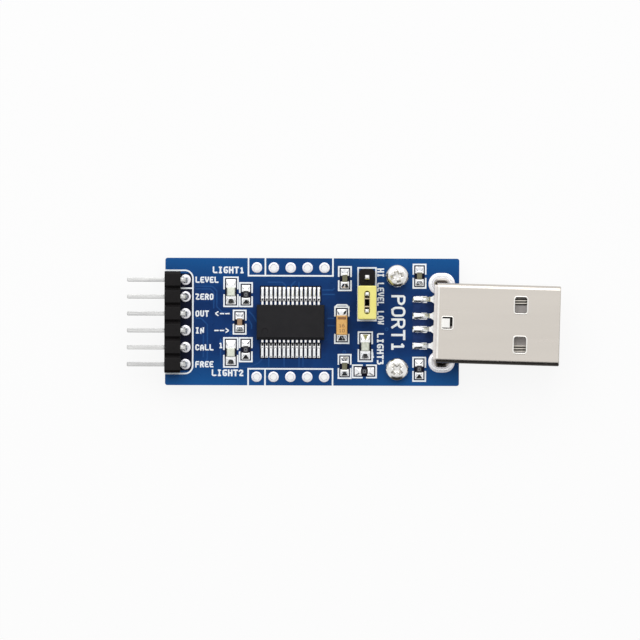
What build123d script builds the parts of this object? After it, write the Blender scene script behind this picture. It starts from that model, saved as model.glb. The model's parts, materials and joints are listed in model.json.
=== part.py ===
from build123d import *
import os

# A bare USB to serial adapter module. Lengths are in millimetres and angles in degrees.
# While the pieces are made, z = 0 is the board's top face, x = 0 the board edge under the pin header,
# and y = 0 the centre line that header, controller and plug share. X runs towards the plug, Z is up.

# Circuit board and its plated holes
board_thickness = 1.6
board_corner_radius = 0.35
land_thickness = 0.05
hole_pitch = 2.54
hole_diameter = 1.0
ring_diameter = 1.6

# Printed outlines
ink_thickness = 0.03
ink_width = 0.23
ink_to_block = 0.03
ink_to_land = 0.19

# Square pins and moulded blocks, common to both headers
pin_side = 0.64
pin_tip_chamfer = 0.12
pin_tail = 1.5
block_side = 2.54
block_depth = 2.4
block_groove = 0.38

# Solder on a pin
solder_cone_height = 0.8
solder_cone_tip = 0.5
solder_cone_sides = 8
solder_short_of_ring = 0.06

# Right-angle header
header_pin_count = 6
header_overhang = 0.1
header_pin_reach = 5.64
header_bend_clear = 0.42
header_bend_radius = 0.64
header_outline_margin = 0.2
header_outline_radius = 1.2

# Jumper header and its cap
jumper_pin_count = 3
jumper_pin_rise = 6.0
cap_length = 5.05
cap_width = 2.8
cap_height = 6.0
cap_corner_radius = 0.25
cap_rim_chamfer = 0.12
cap_roof = 0.7
cap_slot_width = 0.85
cap_slot_length = 3.5
clip_thickness = 0.2
clip_running_gap = 0.02
clip_length = 3.7
clip_web_spacing = 1.2
clip_end_gap = 0.1
clip_rise = 0.4

# Plug shell, folded from sheet
plug_length = 18.5
plug_width = 12.0
plug_height = 4.5
plug_wall = 0.3
plug_corner_radius = 0.7
plug_mouth_chamfer = 0.12
plug_behind_legs = 0.75
plug_skew = 1.5
leg_width = 1.6
leg_tail = 1.5
leg_tip_chamfer = 0.45
leg_root_rise = 1.4
window_length = 1.97
window_width = 2.55
window_radius = 0.4
window_setback = 5.94
window_spacing = 5.95
lance_setback = 0.75
lance_length = 1.66
lance_width = 1.87
lance_side_gap = 0.25
lance_end_gap = 0.45
lance_angle = 18.0
lance_pocket_depth = 1.0
seam_gap = 0.1
seam_key_length = 2.4
seam_key_depth = 1.3
seam_key_flare = 0.35
seam_key_setback = 9.0

# Plug slots through the board
slot_length = 2.4
slot_width = 1.7
slot_pad_length = 4.0
slot_pad_width = 3.3
slot_solder_inset = 0.15
slot_solder_drop = 0.7
slot_solder_taper = 42.0

# Plug insulator and contacts
insulator_behind_shell = 0.45
insulator_block_length = 8.2
tongue_thickness = 1.95
tongue_setback = 0.5
tongue_nose = 0.35
contact_outer_spacing = 7.0
contact_inner_spacing = 2.0
contact_width = 1.0
contact_thickness = 0.25
contact_proud = 0.05
contact_outer_setback = 0.7
contact_inner_setback = 1.7
contact_seat_length = 5.0
lead_width = 0.7
lead_bend_radius = 0.3
lead_shoulder = 0.6
lead_slope_run = 0.95
lead_flare_width = 1.3
lead_flare_seat = 0.3
lead_foot_length = 1.52
plug_land_width = 1.0
plug_land_toe = 0.15
plug_land_heel = 0.55
plug_solder_height = 0.22
plug_solder_taper = 30.0
plug_solder_inset = 0.03

# Controller: a moulded body with gull-wing leads on two sides
controller_length = 10.2
controller_width = 5.3
controller_height = 1.75
controller_standoff = 0.1
controller_draft = 7.0
controller_band = 0.24
controller_edge_chamfer = 0.3
controller_leads_per_side = 14
controller_lead_pitch = 0.65
controller_lead_width = 0.3
controller_lead_thickness = 0.15
controller_span = 7.8
controller_foot_length = 0.5
controller_riser_run = 0.25
controller_land_width = 0.42
controller_land_toe = 1.4
controller_land_heel = 0.2
controller_solder_end = 0.15
dimple_diameter = 1.0
dimple_depth = 0.08
dimple_inset = 1.25

# Chip resistors and chip capacitors
chip_length = 1.6
chip_width = 0.8
chip_end_cap = 0.28
chip_cap_proud = 0.03
resistor_height = 0.45
capacitor_height = 0.8
chip_land_span = 2.92
chip_land_width = 1.24
chip_bracket_opening = 0.5

# Light-emitting diodes
led_length = 2.0
led_width = 1.25
led_base_height = 0.3
led_lens_length = 1.4
led_lens_height = 0.5
led_lens_draft = 12.0
led_terminal = 0.42
led_notch_radius = 0.3
led_land_span = 3.76
led_land_width = 1.46
led_bracket_opening = 0.75

# Tantalum capacitor
tantalum_length = 3.2
tantalum_width = 1.7
tantalum_height = 1.6
tantalum_draft = 5.0
tantalum_terminal_thickness = 0.12
tantalum_terminal_width = 1.2
tantalum_terminal_rise = 0.8
tantalum_terminal_foot = 0.75
tantalum_land_span = 4.8
tantalum_land_width = 1.46
tantalum_bracket_opening = 2.6
polarity_bar_gap = 0.34

# Lands and solder, common to the chip parts
land_under_part = 0.36
solder_climb = 0.8
solder_short_of_land = 0.06

# Screws and nuts
screw_diameter = 2.0
screw_head_diameter = 3.5
screw_head_height = 1.3
screw_head_crown = 1.7
screw_head_side = 0.4
screw_head_shoulder_inset = 0.3
screw_head_shoulder_drop = 0.35
screw_length = 3.0
screw_hole_clearance = 0.1
screw_spacing = 14.0
recess_length = 2.1
recess_width = 0.6
recess_depth = 0.8
recess_taper = 8.0
upper_screw_turn = 15.0
lower_screw_turn = 45.0
nut_across_flats = 4.0
nut_height = 1.6

# Gaps between neighbours along the board, from the header to the plug
names_column = 4.46
bracket_gap = 0.06
resistor_to_controller = 0.58
first_capacitor_to_controller = 1.51
controller_to_tantalum = 1.46
rows_to_capacitor = 0.645
capacitor_to_jumper = 0.83
jumper_to_screw = 1.33
screw_to_bypass = 0.56
bypass_to_slot_pad = 0.31
slot_pad_to_edge = 0.63
power_led_offset = 0.23

# Gaps between neighbours across the board
middle_bracket_gap = 0.38
land_to_row_line = 1.585
row_line_to_hole = 1.21
row_hole_to_upper_edge = 1.44
row_hole_to_lower_edge = 1.29
row_hole_to_capacitor = 1.61
jumper_outline_to_edge = 1.31
power_resistor_to_edge = 1.12
tantalum_below_centre = 0.4
row_hole_count = 5

# What the values above add up to
seat = land_thickness
ring_radius = ring_diameter / 2
underside = -board_thickness
tail_end = underside - pin_tail


def bracket_size(land_span, land_width):
    """The outer length and width of the printed bracket round a pair of lands."""
    margin = 2 * (ink_to_land + ink_width)
    return land_span + margin, land_width + margin


chip_bracket_length, chip_bracket_width = bracket_size(chip_land_span, chip_land_width)
led_bracket_length, led_bracket_width = bracket_size(led_land_span, led_land_width)
tantalum_bracket_width = bracket_size(tantalum_land_span, tantalum_land_width)[1]

# Places along the board
header_x = -header_overhang + block_depth / 2
header_back = header_x + block_depth / 2
header_leg_x = header_back + header_bend_clear + pin_side / 2
header_outline_x = header_leg_x + ring_radius + header_outline_margin + ink_width / 2
led_x = header_outline_x + ink_width / 2 + names_column + led_bracket_width / 2
resistor_x = led_x + (led_bracket_width + chip_bracket_width) / 2 + bracket_gap
controller_x = resistor_x + chip_bracket_width / 2 + resistor_to_controller + controller_length / 2
controller_left = controller_x - controller_length / 2
controller_right = controller_x + controller_length / 2
first_capacitor_x = controller_left - first_capacitor_to_controller - chip_bracket_width / 2
tantalum_x = controller_right + controller_to_tantalum + tantalum_bracket_width / 2
row_half_length = row_hole_count * hole_pitch / 2
rows_right = controller_x + row_half_length
capacitor_x = rows_right + ink_width / 2 + rows_to_capacitor + chip_bracket_width / 2
jumper_outline_width = block_depth + 2 * (ink_to_block + ink_width)
jumper_x = capacitor_x + chip_bracket_width / 2 + capacitor_to_jumper + jumper_outline_width / 2
power_led_x = jumper_x - power_led_offset
power_resistor_x = capacitor_x + (chip_bracket_width + chip_bracket_length) / 2 + bracket_gap
screw_x = jumper_x + jumper_outline_width / 2 + jumper_to_screw + screw_head_diameter / 2
bypass_x = screw_x + screw_head_diameter / 2 + screw_to_bypass + chip_bracket_width / 2
slot_x = bypass_x + chip_bracket_width / 2 + bypass_to_slot_pad + slot_pad_length / 2
board_length = slot_x + slot_pad_length / 2 + slot_pad_to_edge

# Places across the board
controller_land_end = controller_span / 2 + controller_land_toe
row_line_y = controller_land_end + land_to_row_line + ink_width / 2
row_y = row_line_y + row_line_to_hole
upper_edge = row_y + row_hole_to_upper_edge
lower_edge = -(row_y + row_hole_to_lower_edge)
middle_bracket_end = chip_bracket_length / 2 + middle_bracket_gap
led_y = middle_bracket_end + led_bracket_length / 2
resistor_y = middle_bracket_end + chip_bracket_length / 2
capacitor_y = row_y - row_hole_to_capacitor
bypass_y = screw_spacing / 2
jumper_block_length = jumper_pin_count * hole_pitch
jumper_outline_length = jumper_block_length + 2 * (ink_to_block + ink_width)
jumper_y = upper_edge - jumper_outline_to_edge - jumper_outline_length / 2
cap_y = jumper_y - hole_pitch / 2
power_resistor_y = lower_edge + power_resistor_to_edge + chip_bracket_width / 2
power_led_y = power_resistor_y + chip_bracket_width / 2 + middle_bracket_gap + led_bracket_length / 2
slot_y = plug_width / 2 - plug_wall / 2


def block(length, width, height, x=0.0, y=0.0, z=0.0):
    """A box centred on x and y that stands on z."""
    corner = (Align.CENTER, Align.CENTER, Align.MIN)
    return Pos(x, y, z) * Box(length, width, height, align=corner)


def along_row(count, pitch, middle=0.0):
    """Evenly pitched places about a middle."""
    return [middle + (index - (count - 1) / 2) * pitch for index in range(count)]


def sheet_strip(centre_line, thickness, width):
    """A strip of sheet that follows a line drawn in X and Z, centred on y = 0."""
    section = Plane.XZ * trace(centre_line, thickness)
    return extrude(section, width / 2, both=True)


def ink(*lines):
    """Printed lines on the board's top face, each traced at the ink's width."""
    drawn = Sketch() + [trace(line, ink_width) for line in lines]
    return extrude(drawn, ink_thickness)


# Places of the plated holes
upper_row = [(x, row_y) for x in along_row(row_hole_count, hole_pitch, controller_x)]
lower_row = [(x, -row_y) for x in along_row(row_hole_count, hole_pitch, controller_x)]
header_holes = [(header_leg_x, y) for y in reversed(along_row(header_pin_count, hole_pitch))]
jumper_holes = [(jumper_x, y) for y in reversed(along_row(jumper_pin_count, hole_pitch, jumper_y))]
plug_slots = [(slot_x, slot_y), (slot_x, -slot_y)]
screw_places = [(screw_x, screw_spacing / 2), (screw_x, -screw_spacing / 2)]


def circuit_board():
    width = upper_edge - lower_edge
    outline = Pos(board_length / 2, (upper_edge + lower_edge) / 2) * RectangleRounded(
        board_length, width, board_corner_radius
    )
    for x, y in upper_row + lower_row + header_holes + jumper_holes:
        outline -= Pos(x, y) * Circle(hole_diameter / 2)
    for x, y in screw_places:
        outline -= Pos(x, y) * Circle(screw_diameter / 2 + screw_hole_clearance)
    for x, y in plug_slots:
        outline -= Pos(x, y) * SlotOverall(slot_length, slot_width)
    return extrude(outline, -board_thickness)


def block_section(count, across):
    """The outline of a header block: positions whose corners are cut, side by side."""
    position = chamfer(Rectangle(hole_pitch, across).vertices(), block_groove)
    return Sketch() + [Pos(place, 0) * position for place in along_row(count, hole_pitch)]


def pin_solder():
    """Solder that tapers down a pin's tail in flat sides. The pin is cut out of it later."""
    foot = RegularPolygon(ring_radius - solder_short_of_ring, solder_cone_sides)
    tip = RegularPolygon(solder_cone_tip, solder_cone_sides)
    low = underside - solder_cone_height
    return loft([Pos(0, 0, underside) * foot.face(), Pos(0, 0, low) * tip.face()])


def header_pin():
    """A square pin that runs out of the block, then bends down through its hole at x = 0."""
    height = block_side / 2
    tip_x = -header_overhang - header_pin_reach - header_leg_x
    path = FilletPolyline((tip_x, height), (0, height), (0, tail_end), radius=header_bend_radius)
    pin = sheet_strip(path, pin_side, pin_side)
    tips = pin.faces().sort_by(Axis.X)[0].edges() + pin.faces().sort_by(Axis.Z)[0].edges()
    return chamfer(tips, pin_tip_chamfer)


def jumper_pin():
    """A straight square pin on x = y = 0."""
    height = block_side + jumper_pin_rise - tail_end
    pin = block(pin_side, pin_side, height, z=tail_end)
    tips = pin.faces().sort_by(Axis.Z)[0].edges() + pin.faces().sort_by(Axis.Z)[-1].edges()
    return chamfer(tips, pin_tip_chamfer)


def header(parts):
    pins = [Pos(x, y, 0) * header_pin() for x, y in header_holes]
    section = block_section(header_pin_count, block_side)
    body = extrude(Plane.YZ * section, block_depth / 2, both=True)
    body = Pos(header_x, 0, block_side / 2) * body
    solder = [Pos(x, y, 0) * pin_solder() for x, y in header_holes]
    for index, pin in enumerate(pins):
        body -= pin
        solder[index] -= pin
        parts[f"header_pin_{index + 1}"] = pin
    parts["header_body"] = body
    parts["header_solder"] = solder


def jumper_header(parts):
    pins = [Pos(x, y, 0) * jumper_pin() for x, y in jumper_holes]
    section = Rot(0, 0, 90) * block_section(jumper_pin_count, block_depth)
    body = Pos(jumper_x, jumper_y, 0) * extrude(section, block_side)
    solder = [Pos(x, y, 0) * pin_solder() for x, y in jumper_holes]
    for index, pin in enumerate(pins):
        body -= pin
        solder[index] -= pin
        parts[f"jumper_pin_{index + 1}"] = pin
    parts["jumper_header_body"] = body
    parts["jumper_solder"] = solder


def jumper_cap(parts):
    """A moulded cap over two pins, with a folded clip that bridges them."""
    roof = cap_height - cap_roof
    inner_face = pin_side / 2 + clip_running_gap
    outer_face = inner_face + clip_thickness
    clip_height = roof - clip_rise
    side = block(clip_thickness, clip_length, clip_height)
    web = block(2 * inner_face, clip_thickness, clip_height)
    middle_of_side = inner_face + clip_thickness / 2
    clip = Pos(middle_of_side, 0, 0) * side + Pos(-middle_of_side, 0, 0) * side
    for y in along_row(2, clip_web_spacing):
        clip += Pos(0, y, 0) * web

    shell = block(cap_width, cap_length, cap_height)
    shell = fillet(shell.edges().filter_by(Axis.Z), cap_corner_radius)
    shell = chamfer(shell.faces().sort_by(Axis.Z)[-1].edges(), cap_rim_chamfer)
    shell -= block(2 * outer_face, clip_length + 2 * clip_end_gap, roof)
    slot = Rot(0, 0, 90) * SlotOverall(cap_slot_length, cap_slot_width)
    shell -= extrude(slot, cap_height)

    place = Pos(jumper_x, cap_y, block_side)
    parts["jumper_cap_shell"] = place * shell
    parts["jumper_cap_clip"] = place * Pos(0, 0, clip_rise) * clip


# The plug's own frame has its legs at x = 0 and its centre line at y = 0
plug_front = plug_length - plug_behind_legs
hinge_x = lance_setback - plug_behind_legs
tongue_top = plug_wall + tongue_thickness
contact_z = tongue_top + contact_proud - contact_thickness / 2
insulator_rear = -plug_behind_legs - insulator_behind_shell
lead_knee_x = insulator_rear - lead_shoulder
lead_ankle_x = lead_knee_x - lead_slope_run
lead_toe_x = lead_ankle_x - lead_foot_length
plug_place = Pos(slot_x, 0, 0) * Rot(0, 0, -plug_skew)
contact_places = [
    (contact_outer_spacing / 2, contact_outer_setback),
    (contact_inner_spacing / 2, contact_inner_setback),
    (-contact_inner_spacing / 2, contact_inner_setback),
    (-contact_outer_spacing / 2, contact_outer_setback),
]


def plug_cavity_section():
    return RectangleRounded(
        plug_width - 2 * plug_wall,
        plug_height - 2 * plug_wall,
        plug_corner_radius - plug_wall,
    )


def plug_leg():
    """A tail of the shell's side wall that runs down through its slot, with a tapered tip."""
    end = underside - leg_tail
    root = leg_root_rise
    half = leg_width / 2
    outline = Polyline(
        (-half, root),
        (half, root),
        (half, end + leg_tip_chamfer),
        (half - leg_tip_chamfer, end),
        (leg_tip_chamfer - half, end),
        (-half, end + leg_tip_chamfer),
        close=True,
    )
    return extrude(Plane.XZ * make_face(outline), plug_wall / 2, both=True)


def plug_seam():
    """The line where the shell's sheet meets itself underneath, keyed by a dovetail."""
    key_front = plug_front - seam_key_setback
    key_rear = key_front - seam_key_length
    line = Polyline(
        (-plug_behind_legs - seam_gap, 0),
        (key_rear, 0),
        (key_rear - seam_key_flare, seam_key_depth),
        (key_front + seam_key_flare, seam_key_depth),
        (key_front, 0),
        (plug_front + seam_gap, 0),
    )
    return extrude(trace(line, seam_gap), plug_wall)


def plug_shell():
    outer = RectangleRounded(plug_width, plug_height, plug_corner_radius)
    tube = extrude(Plane.YZ * (outer - plug_cavity_section()), plug_length)
    mouth = tube.faces().sort_by(Axis.X)[-1].outer_wire().edges()
    tube = chamfer(mouth, plug_mouth_chamfer)
    shell = Pos(-plug_behind_legs, 0, plug_height / 2) * tube
    for side in (1, -1):
        shell += Pos(0, side * slot_y, 0) * plug_leg()
        window = extrude(RectangleRounded(window_length, window_width, window_radius), plug_height)
        shell -= Pos(plug_front - window_setback, side * window_spacing / 2, 0) * window
    shell -= plug_seam()

    opening = RectangleRounded(lance_length, lance_width, lance_side_gap)
    cut = extrude(opening, 2 * plug_wall)
    shell -= Pos(hinge_x + lance_length / 2, 0, plug_height - plug_wall) * cut
    tongue = Box(
        lance_length - lance_end_gap,
        lance_width - 2 * lance_side_gap,
        plug_wall,
        align=(Align.MIN, Align.CENTER, Align.CENTER),
    )
    hinge = Pos(hinge_x, 0, plug_height - plug_wall / 2) * Rot(0, lance_angle, 0)
    root = block(2 * lance_side_gap, lance_width - 2 * lance_side_gap, plug_wall, x=hinge_x)
    shell += Pos(0, 0, plug_height - plug_wall) * root
    return shell + hinge * tongue


def plug_contact(setback):
    """A flat contact on the tongue, and its narrower lead that steps down to its land.

    The lead flares where it leaves the insulator, which holds it.
    """
    front = plug_front - tongue_setback - setback
    seated_end = insulator_rear + contact_seat_length
    strip = block(
        front - seated_end,
        contact_width,
        contact_thickness,
        x=(front + seated_end) / 2,
        z=contact_z - contact_thickness / 2,
    )
    foot_z = seat + contact_thickness / 2
    path = FilletPolyline(
        (seated_end, contact_z),
        (lead_knee_x, contact_z),
        (lead_ankle_x, foot_z),
        (lead_toe_x, foot_z),
        radius=lead_bend_radius,
    )
    flare = Polyline(
        (insulator_rear + lead_flare_seat, lead_flare_width / 2),
        (insulator_rear, lead_flare_width / 2),
        (lead_knee_x + lead_bend_radius / 2, lead_width / 2),
        (lead_knee_x + lead_bend_radius / 2, -lead_width / 2),
        (insulator_rear, -lead_flare_width / 2),
        (insulator_rear + lead_flare_seat, -lead_flare_width / 2),
        close=True,
    )
    flared = Pos(0, 0, contact_z) * extrude(make_face(flare), contact_thickness / 2, both=True)
    return strip + flared + sheet_strip(path, contact_thickness, lead_width)


def plug_insulator(contacts):
    """The block inside the shell and the tongue in front of it, grooved for the contacts."""
    cavity = plug_cavity_section()
    lift = Pos(insulator_rear, 0, plug_height / 2)
    whole = lift * extrude(Plane.YZ * cavity, insulator_block_length)
    tongue_section = cavity & Pos(0, tongue_top - plug_height) * Rectangle(
        plug_width, plug_height
    )
    tongue_length = plug_front - tongue_setback - insulator_rear
    tongue = extrude(Plane.YZ * tongue_section, tongue_length)
    nose = tongue.faces().sort_by(Axis.X)[-1].edges().sort_by(Axis.Z)[-1]
    tongue = chamfer(nose, tongue_nose)
    whole += lift * tongue
    pocket = block(
        lance_length,
        lance_width,
        lance_pocket_depth,
        x=hinge_x + lance_length / 2,
        z=plug_height - plug_wall - lance_pocket_depth,
    )
    whole -= pocket
    for contact in contacts:
        whole -= contact
    return whole


def slot_solder(side, shell):
    """Solder under the board round a leg, which bridges its slot."""
    foot = SlotOverall(
        slot_pad_length - 2 * slot_solder_inset, slot_pad_width - 2 * slot_solder_inset
    )
    drop = extrude(foot, slot_solder_drop, taper=slot_solder_taper)
    return Pos(slot_x, side * slot_y, underside) * Rot(180, 0, 0) * drop - shell


def plug(parts):
    straight = [Pos(0, y, 0) * plug_contact(setback) for y, setback in contact_places]
    shell = plug_place * plug_shell()
    parts["plug_shell"] = shell
    parts["plug_insulator"] = plug_place * plug_insulator(straight)
    contacts = [plug_place * contact for contact in straight]
    for index, contact in enumerate(contacts):
        parts[f"plug_contact_{index + 1}"] = contact
    parts["plug_leg_solder"] = [slot_solder(side, shell) for side in (1, -1)]

    land_toe = slot_x + lead_toe_x - plug_land_toe
    land_heel = slot_x + lead_ankle_x + plug_land_heel
    land_length = land_heel - land_toe
    land_x = (land_heel + land_toe) / 2
    lands = []
    solder = []
    for (y, _), contact in zip(contact_places, contacts):
        lands.append(block(land_length, plug_land_width, land_thickness, x=land_x, y=y))
        mound = extrude(
            Rectangle(land_length - 2 * plug_solder_inset, plug_land_width - 2 * plug_solder_inset),
            plug_solder_height,
            taper=plug_solder_taper,
        )
        solder.append(Pos(land_x, y, seat) * mound - contact)
    parts["plug_lands"] = lands
    parts["plug_lead_solder"] = solder


def controller(parts):
    """The moulded body, its leads, their lands and the solder at each toe."""
    lead_z = seat + controller_standoff + controller_height / 2
    half_band = controller_band / 2
    half_height = (controller_height - controller_band) / 2
    middle = Rectangle(controller_length, controller_width)
    body = extrude(middle, half_band, both=True)
    body += Pos(0, 0, half_band) * extrude(middle, half_height, taper=controller_draft)
    body += Rot(180, 0, 0) * Pos(0, 0, half_band) * extrude(
        middle, half_height, taper=controller_draft
    )
    top = controller_height / 2
    shoulder = body.faces().sort_by(Axis.Z)[-1].edges().sort_by(Axis.Y)[0]
    body = chamfer(shoulder, controller_edge_chamfer)
    dimple = Cylinder(dimple_diameter / 2, 2 * dimple_depth)
    dimple_x = -controller_length / 2 + dimple_inset
    dimple_y = -controller_width / 2 + dimple_inset
    body -= Pos(dimple_x, dimple_y, top) * dimple
    parts["controller_body"] = Pos(controller_x, 0, lead_z) * body

    half_span = controller_span / 2
    heel = half_span - controller_foot_length
    foot_z = seat + controller_lead_thickness / 2
    path = Polyline(
        (controller_width / 2, lead_z),
        (heel - controller_riser_run, lead_z),
        (heel, foot_z),
        (half_span, foot_z),
    )
    lead = Rot(0, 0, 90) * sheet_strip(path, controller_lead_thickness, controller_lead_width)
    land_length = controller_land_end - heel + controller_land_heel
    land = block(controller_land_width, land_length, land_thickness)
    land = Pos(0, controller_land_end - land_length / 2, 0) * land
    solder_end = controller_land_end - controller_solder_end
    solder_top = seat + controller_lead_thickness
    wedge = make_face(
        Polyline((solder_end, seat), (half_span, seat), (half_span, solder_top), close=True)
    )
    solder = Rot(0, 0, 90) * extrude(Plane.XZ * wedge, controller_lead_width / 2, both=True)

    places = along_row(controller_leads_per_side, controller_lead_pitch, controller_x)
    upper = [Pos(x, 0, 0) for x in places]
    lower = [Pos(x, 0, 0) * Rot(0, 0, 180) for x in places]
    parts["controller_leads_upper"] = [place * lead for place in upper]
    parts["controller_leads_lower"] = [place * lead for place in lower]
    parts["controller_lands"] = [place * land for place in upper + lower]
    parts["controller_solder"] = [place * solder for place in upper + lower]


def lands_for(part_length, land_span, land_width):
    """A pair of lands under the ends of a part that lies along Y."""
    inner = part_length / 2 - land_under_part
    length = land_span / 2 - inner
    land = block(land_width, length, land_thickness, y=inner + length / 2)
    return [land, Rot(0, 0, 180) * land]


def solder_for(part_length, part_width, climb, land_span):
    """A pair of solder wedges from the ends of a part that lies along Y."""
    near = part_length / 2
    far = land_span / 2 - solder_short_of_land
    section = make_face(Polyline((far, seat), (near, seat), (near, seat + climb), close=True))
    wedge = Rot(0, 0, 90) * extrude(Plane.XZ * section, part_width / 2, both=True)
    return [wedge, Rot(0, 0, 180) * wedge]


def chip_body(height):
    """The middle of a chip part that lies along Y, set in a little from its end caps."""
    return block(
        chip_width - 2 * chip_cap_proud,
        chip_length - 2 * chip_end_cap,
        height - 2 * chip_cap_proud,
        z=seat + chip_cap_proud,
    )


def chip_end_caps(height):
    cap = block(chip_width, chip_end_cap, height, y=(chip_length - chip_end_cap) / 2, z=seat)
    return [cap, Rot(0, 0, 180) * cap]


def chip_parts(parts):
    """Resistors and ceramic capacitors, with their end caps, lands and solder."""
    resistors = [
        Pos(resistor_x, resistor_y, 0),
        Pos(resistor_x, -resistor_y, 0),
        Pos(power_resistor_x, power_resistor_y, 0) * Rot(0, 0, 90),
        Pos(bypass_x, -bypass_y, 0),
    ]
    capacitors = [
        Pos(first_capacitor_x, 0, 0),
        Pos(capacitor_x, capacitor_y, 0),
        Pos(capacitor_x, -capacitor_y, 0),
        Pos(bypass_x, bypass_y, 0),
    ]
    kinds = [
        ("resistor", resistors, resistor_height),
        ("ceramic_capacitor", capacitors, capacitor_height),
    ]
    for name, places, height in kinds:
        caps = []
        for index, place in enumerate(places):
            parts[f"{name}_{index + 1}"] = place * chip_body(height)
            caps += [place * cap for cap in chip_end_caps(height)]
            for land in lands_for(chip_length, chip_land_span, chip_land_width):
                parts["chip_lands"].append(place * land)
            climb = height * solder_climb
            for joint in solder_for(chip_length, chip_width, climb, chip_land_span):
                parts["chip_solder"].append(place * joint)
        parts[f"{name.split('_')[-1]}_end_caps"] = caps
    return resistors + capacitors


def led_places():
    return {
        "transmit_led": Pos(led_x, led_y, 0),
        "receive_led": Pos(led_x, -led_y, 0),
        "power_led": Pos(power_led_x, power_led_y, 0),
    }


def leds(parts):
    """Each diode is a substrate between two notched terminals, under a moulded lens."""
    base_length = led_length - 2 * led_terminal
    base = block(led_width, base_length, led_base_height, z=seat)
    terminal = block(
        led_width, led_terminal, led_base_height, y=(led_length - led_terminal) / 2, z=seat
    )
    notch = Pos(0, led_length / 2, seat) * extrude(Circle(led_notch_radius), led_base_height)
    terminal -= notch
    lens = extrude(
        Rectangle(led_width, led_lens_length), led_lens_height, taper=led_lens_draft
    )
    lens = Pos(0, 0, seat + led_base_height) * lens
    terminals = []
    for name, place in led_places().items():
        parts[f"{name}_base"] = place * base
        parts[f"{name}_lens"] = place * lens
        terminals += [place * terminal, place * Rot(0, 0, 180) * terminal]
        for land in lands_for(led_length, led_land_span, led_land_width):
            parts["chip_lands"].append(place * land)
        for joint in solder_for(led_length, led_width, led_base_height, led_land_span):
            parts["chip_solder"].append(place * joint)
    parts["led_terminals"] = terminals


def tantalum(parts):
    """A moulded body, drafted both ways, between two terminals folded under its ends."""
    sheet = tantalum_terminal_thickness
    body_length = tantalum_length - 2 * sheet
    body_height = tantalum_height - sheet
    rise = tantalum_terminal_rise
    middle = Rectangle(tantalum_width, body_length)
    body = extrude(middle, body_height - rise, taper=tantalum_draft) + extrude(middle, -rise)
    body = Pos(0, 0, seat + sheet + rise) * body

    outer = tantalum_length / 2
    side = block(tantalum_terminal_width, sheet, sheet + rise, y=outer - sheet / 2)
    foot = block(
        tantalum_terminal_width,
        tantalum_terminal_foot,
        sheet,
        y=outer - tantalum_terminal_foot / 2,
    )
    terminal = Pos(0, 0, seat) * (side + foot)
    place = Pos(tantalum_x, -tantalum_below_centre, 0)
    parts["tantalum_capacitor_body"] = place * body
    parts["tantalum_capacitor_terminals"] = [
        place * terminal,
        place * Rot(0, 0, 180) * terminal,
    ]
    for land in lands_for(tantalum_length, tantalum_land_span, tantalum_land_width):
        parts["chip_lands"].append(place * land)
    climb = rise * solder_climb
    for joint in solder_for(tantalum_length, tantalum_terminal_width, climb, tantalum_land_span):
        parts["chip_solder"].append(place * joint)
    return place


def screw(turn):
    """A pan-head screw under whose head is z = 0, with a cross recess."""
    head = screw_head_diameter / 2
    shank = screw_diameter / 2
    profile = Polyline(
        (0, screw_head_height),
        (0, -screw_length),
        (shank, -screw_length),
        (shank, 0),
        (head, 0),
        (head, screw_head_side),
        (head - screw_head_shoulder_inset, screw_head_height - screw_head_shoulder_drop),
        (screw_head_crown / 2, screw_head_height),
        close=True,
    )
    body = revolve(Plane.XZ * make_face(profile), Axis.Z)
    bar = Rectangle(recess_length, recess_width)
    cross = extrude(bar, recess_depth, taper=recess_taper)
    cross += Rot(0, 0, 90) * cross
    recess = Pos(0, 0, screw_head_height) * Rot(180, 0, turn) * cross
    return body - recess


def nut():
    """A hexagon nut whose top face is z = 0."""
    hexagon = RegularPolygon(nut_across_flats / 2, 6, major_radius=False)
    return extrude(hexagon - Circle(screw_diameter / 2), -nut_height)


def fasteners(parts):
    turns = (upper_screw_turn, lower_screw_turn)
    parts["screws"] = [Pos(x, y, 0) * screw(turn) for (x, y), turn in zip(screw_places, turns)]
    parts["nuts"] = [Pos(x, y, underside) * nut() for x, y in screw_places]


def bracket(land_span, land_width, opening):
    """Two facing outlines round a part that lies along Y, with an opening at mid length."""
    length, width = bracket_size(land_span, land_width)
    side = (width - ink_width) / 2
    end = (length - ink_width) / 2
    half = ink(
        Polyline((-side, opening / 2), (-side, end), (side, end), (side, opening / 2))
    )
    return [half, Rot(0, 0, 180) * half]


def polarity_bracket():
    """The bracket of the tantalum capacitor, with a cut-corner bar beyond its marked end."""
    halves = bracket(tantalum_land_span, tantalum_land_width, tantalum_bracket_opening)
    length, width = bracket_size(tantalum_land_span, tantalum_land_width)
    side = (width - ink_width) / 2
    end = (length - ink_width) / 2
    bar = ink(
        Polyline(
            (-side, end),
            (-side + polarity_bar_gap, end + polarity_bar_gap),
            (side - polarity_bar_gap, end + polarity_bar_gap),
            (side, end),
        )
    )
    return [halves[0] + bar, halves[1]]


def row_box(side):
    """The outline round a row of holes, open at the board's edge, with its first hole set apart."""
    left = controller_x - row_half_length
    divider = left + hole_pitch
    line_y = side * row_line_y
    edge = upper_edge if side > 0 else lower_edge
    return ink(
        Polyline((left, edge), (left, line_y), (rows_right, line_y), (rows_right, edge)),
        Line((divider, edge), (divider, line_y)),
    )


def header_outline():
    side = header_pin_count * hole_pitch / 2 + ink_to_block + ink_width / 2
    divider_y = (header_pin_count / 2 - 1) * hole_pitch
    return ink(
        FilletPolyline(
            (0, side),
            (header_outline_x, side),
            (header_outline_x, -side),
            (0, -side),
            radius=header_outline_radius,
        ),
        Line((header_back + ink_to_block, divider_y), (header_outline_x, divider_y)),
    )


def jumper_outline():
    outer = Rectangle(jumper_outline_width, jumper_outline_length)
    inner = Rectangle(jumper_outline_width - 2 * ink_width, jumper_outline_length - 2 * ink_width)
    return Pos(jumper_x, jumper_y, 0) * extrude(outer - inner, ink_thickness)


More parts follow.
